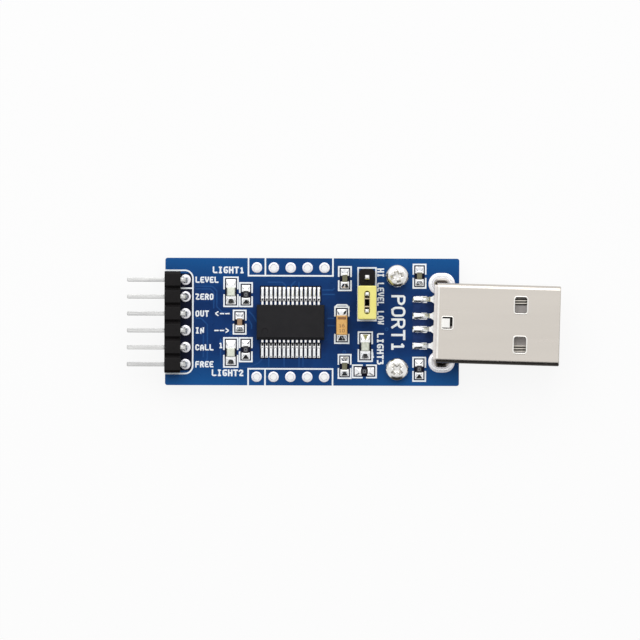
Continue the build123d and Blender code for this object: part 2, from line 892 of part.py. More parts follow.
def printed_outlines(chip_places, tantalum_place):
    outlines = [row_box(1), row_box(-1), header_outline(), jumper_outline()]
    for place in chip_places:
        for half in bracket(chip_land_span, chip_land_width, chip_bracket_opening):
            outlines.append(place * half)
    for place in led_places().values():
        for half in bracket(led_land_span, led_land_width, led_bracket_opening):
            outlines.append(place * half)
    outlines += [tantalum_place * half for half in polarity_bracket()]
    return outlines


def build():
    parts = {"chip_lands": [], "chip_solder": []}
    parts["circuit_board"] = circuit_board()
    header(parts)
    jumper_header(parts)
    jumper_cap(parts)
    plug(parts)
    controller(parts)
    chip_places = chip_parts(parts)
    leds(parts)
    tantalum_place = tantalum(parts)
    fasteners(parts)
    parts["printed_outlines"] = printed_outlines(chip_places, tantalum_place)
    return parts


def one_shape(pieces):
    """A single shape for export, from one piece or a list of separate ones."""
    if not isinstance(pieces, list):
        return pieces
    return Compound([solid for piece in pieces for solid in piece.solids()])


# The finished frame stands on the lowest point, centred under the whole module
shapes = {name: one_shape(pieces) for name, pieces in build().items()}
envelope_box = one_shape(list(shapes.values())).bounding_box()
frame = Pos(-envelope_box.center().X, -envelope_box.center().Y, -envelope_box.min.Z)
os.makedirs("parts", exist_ok=True)
for name, shape in shapes.items():
    export_step(frame * shape, f"parts/{name}.step")
print("board frame origin is at", frame.position, "size", envelope_box.size)
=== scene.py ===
"""The looks of a bare plug-in serial adapter module, dressed around its solids.

Sizes here are millimetres in the board's own frame: x runs from the board edge under the pin header towards
the plug, y is 0 on the line that header, controller and plug share, and z is 0 on the board's top face.
Board.at turns them into the metres of the shared frame.
"""

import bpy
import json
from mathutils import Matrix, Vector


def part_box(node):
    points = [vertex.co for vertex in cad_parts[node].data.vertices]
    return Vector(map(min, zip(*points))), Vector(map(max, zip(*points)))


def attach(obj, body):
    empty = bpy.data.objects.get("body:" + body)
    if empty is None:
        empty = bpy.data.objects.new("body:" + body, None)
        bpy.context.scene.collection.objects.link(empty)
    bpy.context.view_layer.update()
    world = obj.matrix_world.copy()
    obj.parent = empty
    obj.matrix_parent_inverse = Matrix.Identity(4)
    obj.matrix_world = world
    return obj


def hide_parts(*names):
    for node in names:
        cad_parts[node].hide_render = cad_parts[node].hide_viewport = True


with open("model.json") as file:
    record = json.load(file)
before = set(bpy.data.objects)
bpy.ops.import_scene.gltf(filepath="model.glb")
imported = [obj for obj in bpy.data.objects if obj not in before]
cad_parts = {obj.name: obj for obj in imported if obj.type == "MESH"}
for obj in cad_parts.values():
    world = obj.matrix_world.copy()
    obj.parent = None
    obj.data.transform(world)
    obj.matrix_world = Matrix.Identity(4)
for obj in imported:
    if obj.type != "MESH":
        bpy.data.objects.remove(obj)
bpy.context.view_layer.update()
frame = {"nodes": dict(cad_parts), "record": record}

import json
import logging
import math
from collections.abc import Callable, Iterable, Sequence
from dataclasses import dataclass
from enum import Enum
from itertools import pairwise
from typing import NamedTuple

import bmesh
import bpy
from mathutils import Matrix, Vector

log = logging.getLogger("module")

MM = 0.001
MODULE = "module"
CAP = "jumper_cap"

Colour = tuple[float, float, float]
Point = tuple[float, float]
Profile = Sequence[tuple[float, float]]
Piece = bpy.types.Object
Socket = bpy.types.NodeSocket
Sockets = Sequence[tuple[str, str]]


class Station(NamedTuple):
    """One section of a drawn body, in millimetres: where it is, how wide and tall, and how far aside."""

    y: float
    width: float
    height: float
    aside: float = 0.0


class Turn(Enum):
    """The way that a line of lettering reads on the board."""

    ALONG = 0.0
    DOWN = -90.0


class Streak(Enum):
    """The direction in which a metal was drawn or rolled: how far its grain is stretched in x, y and z."""

    ALONG_X = (0.06, 1.0, 1.0)
    ALONG_Z = (1.0, 1.0, 0.06)
    NONE = (1.0, 1.0, 1.0)


class Tree:
    """A node tree that is filled one node at a time."""

    def __init__(self, tree: bpy.types.NodeTree) -> None:
        """Takes a tree and empties it.

        Args:
            tree: the tree of a material, a world or a group.
        """
        self.tree = tree
        tree.nodes.clear()

    def add(self, kind: str, feeds: dict | None = None, **settings: object) -> bpy.types.Node:
        """Adds a node, sets it up and feeds its inputs.

        Args:
            kind: the node's type.
            feeds: input name or number to a value, or to the output that feeds it.
            settings: the node's own properties.

        Returns:
            The new node.
        """
        node = self.tree.nodes.new(kind)
        for key, value in settings.items():
            setattr(node, key, value)
        for key, value in (feeds or {}).items():
            if isinstance(value, bpy.types.NodeSocket):
                self.tree.links.new(value, node.inputs[key])
            else:
                node.inputs[key].default_value = value
        return node

    def mix(self, factor: Socket | float, low: Socket | tuple, high: Socket | tuple) -> Socket:
        """Mixes two colours.

        Args:
            factor: 0 gives the first colour and 1 the second.
            low: the first colour.
            high: the second colour.

        Returns:
            The mixed colour.
        """
        feeds = {0: factor, 6: opaque(low), 7: opaque(high)}
        return self.add("ShaderNodeMix", feeds, data_type="RGBA").outputs[2]

    def remap(self, value: Socket, source: Point | tuple[Socket, Socket], target: Point) -> Socket:
        """Maps a value from one range to another, held inside it.

        Args:
            value: the value.
            source: the range that it comes in.
            target: the range that it goes out in.

        Returns:
            The mapped value.
        """
        feeds = {0: value, 1: source[0], 2: source[1], 3: target[0], 4: target[1]}
        return self.add("ShaderNodeMapRange", feeds).outputs[0]

    def sum(self, *values: Socket | float) -> Socket:
        """Adds values.

        Args:
            values: two or more values.

        Returns:
            Their sum.
        """
        total = values[0]
        for value in values[1:]:
            total = self.add("ShaderNodeMath", {0: total, 1: value}, operation="ADD").outputs[0]
        return total

    def product(self, first: Socket, second: Socket | float) -> Socket:
        """Multiplies two values."""
        return self.add("ShaderNodeMath", {0: first, 1: second}, operation="MULTIPLY").outputs[0]

    def absolute(self, value: Socket) -> Socket:
        """Takes a value's sign away."""
        return self.add("ShaderNodeMath", {0: value}, operation="ABSOLUTE").outputs[0]

    def place(self) -> Socket:
        """Where a point lies, in the piece's own frame."""
        return self.add("ShaderNodeTexCoord").outputs["Object"]

    def parts(self, vector: Socket) -> Sequence[Socket]:
        """The x, y and z of a vector."""
        return self.add("ShaderNodeSeparateXYZ", {0: vector}).outputs


def opaque(colour: Socket | tuple) -> Socket | tuple:
    """Gives a plain colour its alpha, and leaves a socket alone."""
    return (*colour, 1.0) if isinstance(colour, tuple) and len(colour) == 3 else colour


class Effects:
    """Surface effects that several finishes share, each a node group that is built once."""

    def __init__(self) -> None:
        """Builds the groups."""
        self.grain = self._grain()
        self.variation = self._variation()
        self.band = self._band()

    @staticmethod
    def _sockets(tree: bpy.types.NodeTree, into: Sockets, out: Sockets) -> None:
        """Gives a group its named inputs and outputs.

        Args:
            tree: the group.
            into: the name and kind of each input.
            out: the name and kind of each output.
        """
        for name, kind in into:
            tree.interface.new_socket(name=name, in_out="INPUT", socket_type=f"NodeSocket{kind}")
        for name, kind in out:
            tree.interface.new_socket(name=name, in_out="OUTPUT", socket_type=f"NodeSocket{kind}")

    def _grain(self) -> bpy.types.NodeTree:
        """Two sizes of fine grain, as a normal and as a height.

        Returns:
            The group.
        """
        group = bpy.data.node_groups.new("fine_grain", "ShaderNodeTree")
        into = [("Vector", "Vector"), ("Scale", "Float"), ("Depth", "Float")]
        self._sockets(group, into, [("Normal", "Vector"), ("Height", "Float")])
        tree = Tree(group)
        given = tree.add("NodeGroupInput")
        coarse = tree.add(
            "ShaderNodeTexNoise", {"Vector": given.outputs[0], "Scale": given.outputs[1], "Detail": 3.0}
        )
        finer_scale = tree.product(given.outputs[1], 3.7)
        fine = tree.add(
            "ShaderNodeTexVoronoi", {"Vector": given.outputs[0], "Scale": finer_scale}, feature="SMOOTH_F1"
        )
        height = tree.sum(coarse.outputs[0], tree.product(fine.outputs[0], 0.5))
        bump = tree.add("ShaderNodeBump", {"Strength": 1.0, "Distance": given.outputs[2], "Height": height})
        tree.add("NodeGroupOutput", {0: bump.outputs[0], 1: height})
        return group

    def _variation(self) -> bpy.types.NodeTree:
        """A soft, uneven mask from 0 to 1.

        Returns:
            The group.
        """
        group = bpy.data.node_groups.new("uneven_mask", "ShaderNodeTree")
        into = [("Vector", "Vector"), ("Scale", "Float"), ("Low", "Float"), ("High", "Float")]
        self._sockets(group, into, [("Mask", "Float")])
        tree = Tree(group)
        given = tree.add("NodeGroupInput")
        noise = tree.add(
            "ShaderNodeTexNoise",
            {"Vector": given.outputs[0], "Scale": given.outputs[1], "Detail": 4.0, "Distortion": 0.4},
        )
        feeds = {0: noise.outputs[0], 1: given.outputs[2], 2: given.outputs[3]}
        mask = tree.add("ShaderNodeMapRange", feeds)
        tree.add("NodeGroupOutput", {0: mask.outputs[0]})
        return group

    def _band(self) -> bpy.types.NodeTree:
        """A mask that is 1 between two values, with soft ends inside them.

        Returns:
            The group.
        """
        group = bpy.data.node_groups.new("band_mask", "ShaderNodeTree")
        into = [("Value", "Float"), ("Start", "Float"), ("End", "Float"), ("Blend", "Float")]
        self._sockets(group, into, [("Mask", "Float")])
        tree = Tree(group)
        value, start, end, blend = tree.add("NodeGroupInput").outputs[:4]
        full = tree.sum(start, blend)
        fading = tree.sum(end, tree.product(blend, -1.0))
        rise = tree.remap(value, (start, full), (0.0, 1.0))
        fall = tree.remap(value, (fading, end), (1.0, 0.0))
        tree.add("NodeGroupOutput", {0: tree.product(rise, fall)})
        return group


@dataclass(frozen=True)
class Finish:
    """What a surface looks like: its two close tones, its gloss and its fine grain.

    Sizes are millimetres. Colours are linear.
    """

    name: str
    tone: Colour
    second_tone: Colour
    roughness: Point = (0.35, 0.5)
    metallic: float = 0.0
    specular: float = 0.3
    patch_size: float = 1.5
    grain_size: float = 0.12
    grain_depth: float = 0.004
    streak: Streak = Streak.NONE

    def vector(self, tree: Tree) -> Socket:
        """Where a point lies on the piece, stretched along the metal's streaks."""
        return tree.add("ShaderNodeMapping", {0: tree.place(), 3: self.streak.value}).outputs[0]

    def mask(self, tree: Tree, effects: Effects, size: float, low: float, high: float) -> Socket:
        """An uneven mask whose patches have a given size."""
        feeds = {0: self.vector(tree), 1: 1 / (size * MM), 2: low, 3: high}
        return tree.add("ShaderNodeGroup", feeds, node_tree=effects.variation).outputs[0]

    @staticmethod
    def band(tree: Tree, effects: Effects, value: Socket, span: Point, blend: float) -> Socket:
        """A soft mask of the places where a distance lies in a span of millimetres."""
        feeds = {0: value, 1: span[0] * MM, 2: span[1] * MM, 3: blend * MM}
        return tree.add("ShaderNodeGroup", feeds, node_tree=effects.band).outputs[0]

    def colour(self, tree: Tree, effects: Effects) -> Socket:
        """The base colour."""
        patches = self.mask(tree, effects, self.patch_size, 0.35, 0.65)
        return tree.mix(patches, self.tone, self.second_tone)

    def normal(self, tree: Tree, effects: Effects) -> Socket:
        """The fine relief."""
        feeds = {0: self.vector(tree), 1: 1 / (self.grain_size * MM), 2: self.grain_depth * MM}
        return tree.add("ShaderNodeGroup", feeds, node_tree=effects.grain).outputs[0]

    def build(self, effects: Effects) -> bpy.types.Material:
        """Makes the material.

        Args:
            effects: the shared effects.

        Returns:
            The material.
        """
        material = bpy.data.materials.new(self.name)
        material.use_nodes = True
        tree = Tree(material.node_tree)
        gloss = self.mask(tree, effects, self.patch_size / 3, 0.3, 0.7)
        feeds = {
            "Base Color": self.colour(tree, effects),
            "Roughness": tree.remap(gloss, (0.0, 1.0), self.roughness),
            "Normal": self.normal(tree, effects),
            "Metallic": self.metallic,
            "Specular IOR Level": self.specular,
        }
        shader = tree.add("ShaderNodeBsdfPrincipled", feeds)
        tree.add("ShaderNodeOutputMaterial", {0: shader.outputs[0]})
        return material


@dataclass(frozen=True)
class SolderMask(Finish):
    """The board: blue mask over glass laminate, which shows at the cut edges."""

    laminate: Colour = (0.36, 0.33, 0.17)
    laminate_dark: Colour = (0.22, 0.19, 0.09)
    layer: float = 0.12
    # Painted light: the paler tone that the mask takes towards the board's edges and ends.
    edge_light_tone: Colour = (0.0055, 0.085, 0.285)
    edge_light_spans: tuple[Point, Point] = ((0.15, 0.6), (0.45, 1.0))
    edge_light_least: Point = (0.38, 0.0)

    def colour(self, tree: Tree, effects: Effects) -> Socket:
        """Mask on the faces, with painted light that makes it paler towards the edges and the ends, and
        layered laminate at the sides.

        Args:
            tree: the material's tree.
            effects: the shared effects.

        Returns:
            The colour.
        """
        place = tree.place()
        split = tree.parts(place)
        low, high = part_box("circuit_board")
        nearness = []
        for axis, (inner, outer) in enumerate(self.edge_light_spans):
            middle = (low[axis] + high[axis]) / 2
            half = (high[axis] - low[axis]) / 2
            distance = tree.absolute(tree.sum(split[axis], -middle))
            source = (inner * half, outer * half)
            nearness.append(tree.remap(distance, source, (self.edge_light_least[axis], 1.0)))
        # Painted light: how near a point is to the board's edges and ends, where the mask is paled.
        rim = tree.product(*nearness)
        patches = self.mask(tree, effects, self.patch_size, 0.35, 0.65)
        face = tree.mix(rim, tree.mix(patches, self.tone, self.second_tone), self.edge_light_tone)
        layers = tree.add("ShaderNodeMapping", {0: place, 3: (0.1, 0.1, 1.0)}).outputs[0]
        feeds = {"Vector": layers, "Scale": 1 / (self.layer * MM), "Detail": 2.0}
        cloth = tree.add("ShaderNodeTexNoise", feeds).outputs[0]
        side = tree.mix(cloth, self.laminate, self.laminate_dark)
        facing = tree.add("ShaderNodeNewGeometry").outputs["Normal"]
        flat = tree.absolute(tree.parts(facing)[2])
        return tree.mix(tree.remap(flat, (0.4, 0.6), (0.0, 1.0)), side, face)


@dataclass(frozen=True)
class ContactPlating(Finish):
    """A contact: plated, with lengthwise lines of painted shade inside the plug, and bright tin on its lead
    outside.
    """

    # Painted shade: the dark tone of the lines that stand in for the shade between the contacts' edges.
    line_shade: Colour = (0.006, 0.005, 0.004)
    shade_line_pitch: float = 0.40
    tin_length: float = 0.8

    def colour(self, tree: Tree, effects: Effects) -> Socket:
        """Lines of painted shade from the plug's mouth to its rear end, and tin beyond.

        Args:
            tree: the material's tree.
            effects: the shared effects.

        Returns:
            The colour.
        """
        along, across, _ = tree.parts(tree.place())
        turns = tree.product(across, 2 * math.pi / (self.shade_line_pitch * MM))
        wave = tree.add("ShaderNodeMath", {0: turns}, operation="SINE").outputs[0]
        shade_lines = tree.mix(tree.remap(wave, (-0.1, 0.4), (0.0, 1.0)), self.line_shade, self.second_tone)
        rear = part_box("plug_insulator")[0].x
        inside = tree.remap(along, (rear, rear + self.tin_length * MM), (0.0, 1.0))
        return tree.mix(inside, self.tone, shade_lines)


@dataclass(frozen=True)
class GullWing(Finish):
    """A gull-wing lead: bright foot and shoulder, with painted shade in its bends and the same dark tone at
    its toe.

    Both zones are distances from the controller's middle line.
    """

    # Painted shade: the dark tone of the steep riser, which the cut toe shares.
    painted_shade: Colour = (0.012, 0.011, 0.013)
    riser: Point = (3.12, 3.60)
    toe: Point = (3.86, 4.0)
    blend: float = 0.05

    def colour(self, tree: Tree, effects: Effects) -> Socket:
        """Painted shade in the riser, and the same dark tone at the cut toe.

        Args:
            tree: the material's tree.
            effects: the shared effects.

        Returns:
            The colour.
        """
        shade = super().colour(tree, effects)
        low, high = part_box("controller_body")
        distance = tree.absolute(tree.sum(tree.parts(tree.place())[1], -(low.y + high.y) / 2))
        for span in (self.riser, self.toe):
            shade = tree.mix(self.band(tree, effects, distance, span, self.blend), shade, self.painted_shade)
        return shade


@dataclass(frozen=True)
class Zoned(Finish):
    """A part of the plug with painted light in one box, which is measured from between the plug's legs: a
    painted highlight on the shell's lanced tab, and painted shade in the insulator's pocket under it.
    """

    painted_light_tone: Colour = (0.0, 0.0, 0.0)
    zone_x: Point = (0.0, 1.0)
    zone_y: Point = (0.0, 1.0)
    blend: float = 0.04

    def colour(self, tree: Tree, effects: Effects) -> Socket:
        """The painted light's tone inside the box, and the usual one outside.

        Args:
            tree: the material's tree.
            effects: the shared effects.

        Returns:
            The colour.
        """
        split = tree.parts(tree.place())
        low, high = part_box("plug_leg_solder")
        inside = []
        for axis, span in enumerate((self.zone_x, self.zone_y)):
            offset = tree.sum(split[axis], -(low[axis] + high[axis]) / 2)
            inside.append(self.band(tree, effects, offset, span, self.blend))
        return tree.mix(tree.product(*inside), super().colour(tree, effects), self.painted_light_tone)


@dataclass(frozen=True)
class PooledSolder(Finish):
    """Solder that has sunk into a hole, with painted shade that darkens it where it is deep."""

    # Painted shade: the tone of the deep hollow.
    hollow_shade: Colour = (0.055, 0.048, 0.045)
    depth: Point = (-0.02, -0.22)

    def colour(self, tree: Tree, effects: Effects) -> Socket:
        """Bright at the rim, and darkened by painted shade with depth under the board's top.

        Args:
            tree: the material's tree.
            effects: the shared effects.

        Returns:
            The colour.
        """
        bright = super().colour(tree, effects)
        height = tree.parts(tree.place())[2]
        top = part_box("circuit_board")[1].z
        shallow, deep = (top + offset * MM for offset in self.depth)
        sunk = tree.remap(height, (deep, shallow), (1.0, 0.0))
        return tree.mix(sunk, bright, self.hollow_shade)


@dataclass(frozen=True)
class Finishes:
    """Every finish of the module, each named for what it is on."""

    mask: Finish = SolderMask(
        "blue_mask", (0.0030, 0.036, 0.160), (0.0020, 0.027, 0.125),
        roughness=(0.26, 0.36), specular=0.10, patch_size=2.2, grain_size=0.45, grain_depth=0.006,
    )
    trace: Finish = Finish(
        "mask_over_copper", (0.0100, 0.072, 0.250), (0.0070, 0.055, 0.205),
        roughness=(0.26, 0.36), specular=0.12, patch_size=2.0, grain_size=0.3, grain_depth=0.003,
    )
    # Bare laminate in the mask's windows, partly painted shade: darkened for the shade between the leads
    # and parts beside them.
    window: Finish = Finish(
        "bare_laminate_and_shade", (0.0040, 0.0065, 0.028), (0.0025, 0.0040, 0.017),
        roughness=(0.35, 0.5), specular=0.08, patch_size=1.0, grain_size=0.2, grain_depth=0.004,
    )
    # Painted shade: the mask between the plug's leads, in shade.
    gap: Finish = Finish(
        "shaded_mask", (0.0140, 0.0400, 0.1500), (0.0090, 0.0270, 0.1050),
        roughness=(0.35, 0.5), specular=0.08, patch_size=0.7, grain_size=0.2, grain_depth=0.004,
    )
    ink: Finish = Finish(
        "white_ink", (0.95, 0.98, 1.0), (0.90, 0.95, 0.99),
        roughness=(0.5, 0.65), specular=0.2, patch_size=0.7, grain_size=0.09, grain_depth=0.004,
    )
    tin: Finish = Finish(
        "bright_tin", (0.93, 0.93, 0.93), (0.84, 0.85, 0.86),
        roughness=(0.18, 0.34), metallic=1.0, patch_size=0.6, grain_size=0.22, grain_depth=0.006,
    )
    faded_ink: Finish = Finish(
        "faded_ink", (0.36, 0.37, 0.40), (0.26, 0.27, 0.30),
        roughness=(0.5, 0.65), specular=0.2, patch_size=0.4, grain_size=0.09, grain_depth=0.004,
    )
    solder: Finish = Finish(
        "bright_solder", (0.92, 0.93, 0.94), (0.80, 0.82, 0.84),
        roughness=(0.10, 0.26), metallic=1.0, patch_size=0.8, grain_size=0.35, grain_depth=0.016,
    )
    upper_lead: Finish = GullWing(
        "upper_lead", (0.95, 0.95, 0.95), (0.88, 0.88, 0.89),
        roughness=(0.18, 0.34), metallic=1.0, patch_size=0.6, grain_size=0.22, grain_depth=0.003,
    )
    # Painted shade: a darker copy of the upper row's finish, with wider shaded bands, as the light falls
    # from beyond the upper row.
    lower_lead: Finish = GullWing(
        "lower_lead", (0.92, 0.92, 0.92), (0.80, 0.80, 0.81),
        roughness=(0.18, 0.34), metallic=1.0, patch_size=0.6, grain_size=0.22, grain_depth=0.003,
        riser=(3.00, 3.56), toe=(3.78, 4.0),
    )
    pad: Finish = Finish(
        "dull_tin", (0.80, 0.79, 0.83), (0.72, 0.71, 0.76),
        roughness=(0.28, 0.42), metallic=1.0, patch_size=0.7, grain_size=0.25, grain_depth=0.008,
    )
    # Painted highlight: paler and glossier than the shell, for the light that the pressed and rolled edges
    # catch.
    edge_highlight: Finish = Finish(
        "glossy_edge_highlight", (0.88, 0.86, 0.82), (0.80, 0.78, 0.74),
        roughness=(0.14, 0.24), metallic=1.0, patch_size=1.2, grain_size=0.16, grain_depth=0.001,
    )
    pooled: Finish = PooledSolder(
        "pooled_solder", (0.86, 0.86, 0.87), (0.72, 0.73, 0.75),
        roughness=(0.14, 0.32), metallic=1.0, patch_size=0.8, grain_size=0.35, grain_depth=0.02,
    )
    pin: Finish = Finish(
        "tinned_pin", (0.71, 0.71, 0.70), (0.54, 0.54, 0.54),
        roughness=(0.22, 0.38), metallic=1.0, patch_size=0.5, grain_size=0.10, grain_depth=0.003,
        streak=Streak.ALONG_X,
    )
    post: Finish = Finish(
        "tinned_post", (0.80, 0.79, 0.77), (0.68, 0.68, 0.67),
        roughness=(0.22, 0.36), metallic=1.0, patch_size=0.5, grain_size=0.10, grain_depth=0.003,
        streak=Streak.ALONG_Z,
    )
    block: Finish = Finish(
        "black_moulding", (0.0075, 0.0062, 0.0066), (0.0055, 0.0048, 0.0050),
        roughness=(0.42, 0.58), specular=0.14, patch_size=1.6, grain_size=0.10, grain_depth=0.005,
    )
    controller: Finish = Finish(
        "controller_moulding", (0.0185, 0.0180, 0.0200), (0.0160, 0.0156, 0.0176),
        roughness=(0.55, 0.68), specular=0.12, patch_size=2.5, grain_size=0.055, grain_depth=0.004,
    )
    cap: Finish = Finish(
        "pale_yellow_moulding", (0.90, 0.83, 0.27), (0.86, 0.78, 0.22),
        roughness=(0.34, 0.46), specular=0.35, patch_size=2.0, grain_size=0.16, grain_depth=0.003,
    )
    # Painted shade: the white moulding is dark in the pocket under the shell's lanced tab.
    insulator: Finish = Zoned(
        "white_moulding", (0.84, 0.80, 0.78), (0.77, 0.73, 0.71),
        roughness=(0.4, 0.55), specular=0.3, patch_size=2.0, grain_size=0.12, grain_depth=0.003,
        painted_light_tone=(0.010, 0.009, 0.008), zone_x=(-0.1, 1.85), zone_y=(-0.55, 1.15),
    )
    # Painted highlight: the sheet is pale on the lanced tab.
    shell: Finish = Zoned(
        "nickel_sheet", (0.625, 0.583, 0.533), (0.610, 0.569, 0.521),
        roughness=(0.23, 0.28), metallic=1.0, patch_size=3.0, grain_size=0.30, grain_depth=0.0002,
        streak=Streak.ALONG_X, painted_light_tone=(0.93, 0.92, 0.89), zone_x=(-0.05, 1.30), zone_y=(-0.76, 0.76),
    )
    contact: Finish = ContactPlating(
        "plated_contact", (0.88, 0.88, 0.87), (0.62, 0.58, 0.52),
        roughness=(0.2, 0.35), metallic=1.0, patch_size=1.0, grain_size=0.12, grain_depth=0.002,
        streak=Streak.ALONG_X,
    )
    clip: Finish = Finish(
        "sprung_clip", (0.60, 0.50, 0.34), (0.50, 0.42, 0.30),
        roughness=(0.25, 0.4), metallic=1.0, patch_size=0.8, grain_size=0.1, grain_depth=0.003,
    )
    screw: Finish = Finish(
        "nickel_screw", (0.83, 0.82, 0.80), (0.70, 0.69, 0.66),
        roughness=(0.12, 0.24), metallic=1.0, patch_size=0.8, grain_size=0.30, grain_depth=0.004,
    )
    resistor: Finish = Finish(
        "dark_overcoat", (0.016, 0.015, 0.018), (0.028, 0.027, 0.032),
        roughness=(0.25, 0.4), specular=0.4, patch_size=0.4, grain_size=0.09, grain_depth=0.004,
    )
    tan_ceramic: Finish = Finish(
        "tan_ceramic", (0.42, 0.27, 0.16), (0.34, 0.21, 0.12),
        roughness=(0.35, 0.5), specular=0.35, patch_size=0.35, grain_size=0.07, grain_depth=0.005,
    )
    grey_ceramic: Finish = Finish(
        "grey_ceramic", (0.21, 0.20, 0.12), (0.15, 0.145, 0.09),
        roughness=(0.35, 0.5), specular=0.35, patch_size=0.35, grain_size=0.07, grain_depth=0.005,
    )
    lens: Finish = Finish(
        "milky_resin", (0.84, 0.87, 0.76), (0.68, 0.72, 0.60),
        roughness=(0.18, 0.3), specular=0.5, patch_size=0.45, grain_size=0.4, grain_depth=0.02,
    )
    substrate: Finish = Finish(
        "pale_laminate", (0.74, 0.75, 0.66), (0.66, 0.68, 0.58),
        roughness=(0.4, 0.55), specular=0.3, patch_size=0.4, grain_size=0.1, grain_depth=0.004,
    )
    tantalum: Finish = Finish(
        "orange_moulding", (0.84, 0.50, 0.17), (0.78, 0.42, 0.12),
        roughness=(0.3, 0.45), specular=0.35, patch_size=0.5, grain_size=0.1, grain_depth=0.005,
    )
    stripe: Finish = Finish(
        "brown_stripe", (0.33, 0.16, 0.07), (0.27, 0.13, 0.055),
        roughness=(0.35, 0.5), specular=0.3, patch_size=0.4, grain_size=0.1, grain_depth=0.004,
    )


class Bench:
    """Modelling moves that the sub-assemblies share, made with Blender's own operators."""

    @staticmethod
    def take(*pieces: Piece) -> None:
        """Selects these pieces alone, the last of them active.

        Args:
            pieces: the pieces.
        """
        bpy.ops.object.select_all(action="DESELECT")
        for piece in pieces:
            piece.select_set(True)
            bpy.context.view_layer.objects.active = piece

    @staticmethod
    def edit(selected: bool = True) -> None:
        """Enters edit mode on the active piece.

        Args:
            selected: whether all of it is selected, or nothing.
        """
        bpy.ops.object.mode_set(mode="EDIT")
        bpy.ops.mesh.select_mode(type="VERT")
        bpy.ops.mesh.select_all(action="SELECT" if selected else "DESELECT")

    @staticmethod
    def leave() -> None:
        """Leaves edit mode."""
        bpy.ops.object.mode_set(mode="OBJECT")

    @staticmethod
    def pick(test: Callable[[Vector], bool]) -> None:
        """Selects some points of the piece in edit mode.

        Args:
            test: whether a point at this place, in the piece's own frame, is selected.
        """
        mesh = bmesh.from_edit_mesh(bpy.context.object.data)
        for vertex in mesh.verts:
            vertex.select_set(test(vertex.co))
        mesh.select_flush_mode()
        bmesh.update_edit_mesh(bpy.context.object.data)

    @staticmethod
    def settle(piece: Piece, smooth_angle: float = 35.0) -> Piece:
        """Puts a piece's place into its mesh, turns its faces outwards and smooths its gentle edges.

        Args:
            piece: the piece.
            smooth_angle: edges that turn by less are shaded smooth, in degrees.

        Returns:
            The piece.
        """
        Bench.take(piece)
        bpy.ops.object.transform_apply(location=True, rotation=True, scale=True)
        Bench.edit()
        bpy.ops.mesh.remove_doubles(threshold=0.0002 * MM)
        bpy.ops.mesh.normals_make_consistent(inside=False)
        Bench.leave()
        bpy.ops.object.shade_smooth_by_angle(angle=math.radians(smooth_angle))
        return piece

    @staticmethod
    def turned(
        name: str, profile: Profile, place: Vector, segments: int = 40, closed: bool = False
    ) -> Piece:
        """A round piece: a ring that is carried along its profile.

        Args:
            name: the piece's name.
            profile: radius and height of each ring.
            place: where the axis meets height 0, in metres.
            segments: how many sides a ring has.
            closed: the profile ends where it starts, so the piece has a bore and no end faces.

        Returns:
            The piece.
        """
        radius, height = profile[0]
        bpy.ops.object.select_all(action="DESELECT")
        bpy.ops.mesh.primitive_circle_add(
            vertices=segments,
            radius=radius * MM,
            fill_type="NOTHING" if closed else "NGON",
            location=place + Vector((0, 0, height * MM)),
        )
        piece = bpy.context.object
        piece.name = name
        Bench.edit()
        for (radius, height), (next_radius, next_height) in pairwise(profile):
            rise = (0, 0, (next_height - height) * MM)
            bpy.ops.mesh.extrude_region_move(TRANSFORM_OT_translate={"value": rise})
            grown = next_radius / radius
            bpy.ops.transform.resize(value=(grown, grown, 1), center_override=place)
        Bench.leave()
        return piece

    @staticmethod
    def drawn(name: str, stations: Sequence[Station], sides: int = 16) -> Piece:
        """A half-round body on the plane z = 0, drawn out along y through its stations.

        Args:
            name: the piece's name.
            stations: its sections, in order.
            sides: how many sides the full round would have.

        Returns:
            The piece, at the origin.
        """
        first = stations[0]
        foot = Vector((first.aside, first.y, 0)) * MM
        bpy.ops.object.select_all(action="DESELECT")
        bpy.ops.mesh.primitive_circle_add(
            vertices=sides,
            radius=MM,
            fill_type="NGON",
            location=foot,
            rotation=(math.pi / 2, 0, 0),
        )
        piece = bpy.context.object
        piece.name = name
        bpy.ops.object.transform_apply(location=True, rotation=True, scale=True)
        Bench.edit()
        bpy.ops.mesh.bisect(plane_co=(0, 0, 0), plane_no=(0, 0, 1), clear_inner=True)
        bpy.ops.mesh.select_all(action="SELECT")
        bpy.ops.transform.resize(value=(first.width / 2, 1, first.height), center_override=foot)
        for here, there in pairwise(stations):
            step = Vector((there.aside - here.aside, there.y - here.y, 0)) * MM
            bpy.ops.mesh.extrude_region_move(TRANSFORM_OT_translate={"value": step})
            foot += step
            grown = (there.width / here.width, 1, there.height / here.height)
            bpy.ops.transform.resize(value=grown, center_override=foot)
        Bench.leave()
        return piece

    @staticmethod
    def line(route: Sequence[Vector], width: float, rise: float, reach: float = 0.0) -> Piece:
        """A low line with a rounded top and slightly rounded turns, drawn through its corners.

        Args:
            route: its corners, in metres, all at one height.
            width: how wide it is, in millimetres.
            rise: how far it stands over its corners, in millimetres.
            reach: how far it goes on past its two ends, in millimetres.

        Returns:
            The line.
        """
        first, last = (route[0] - route[1]).normalized(), (route[-1] - route[-2]).normalized()
        eased = [route[0] + first * reach * MM]
        for before, corner, after in zip(route, route[1:], route[2:]):
            for way in (before - corner, after - corner):
                eased.append(corner + way * min(0.4, 0.4 * width * MM / way.length))
        eased.append(route[-1] + last * reach * MM)
        bpy.ops.object.select_all(action="DESELECT")
        bpy.ops.mesh.primitive_plane_add(size=MM, location=eased[0])
        Bench.edit()
        bpy.ops.mesh.merge(type="CENTER")
        for here, there in pairwise(eased):
            bpy.ops.mesh.extrude_vertices_move(TRANSFORM_OT_translate={"value": there - here})
        Bench.leave()
        bpy.ops.object.convert(target="CURVE")
        curve = bpy.context.object.data
        curve.bevel_depth = width / 2 * MM
        curve.bevel_resolution = 2
        curve.use_fill_caps = True
        bpy.ops.object.convert(target="MESH")
        piece = bpy.context.object
        piece.scale.z = 2 * rise / width
        bpy.ops.object.transform_apply(location=True, rotation=False, scale=True)
        return piece

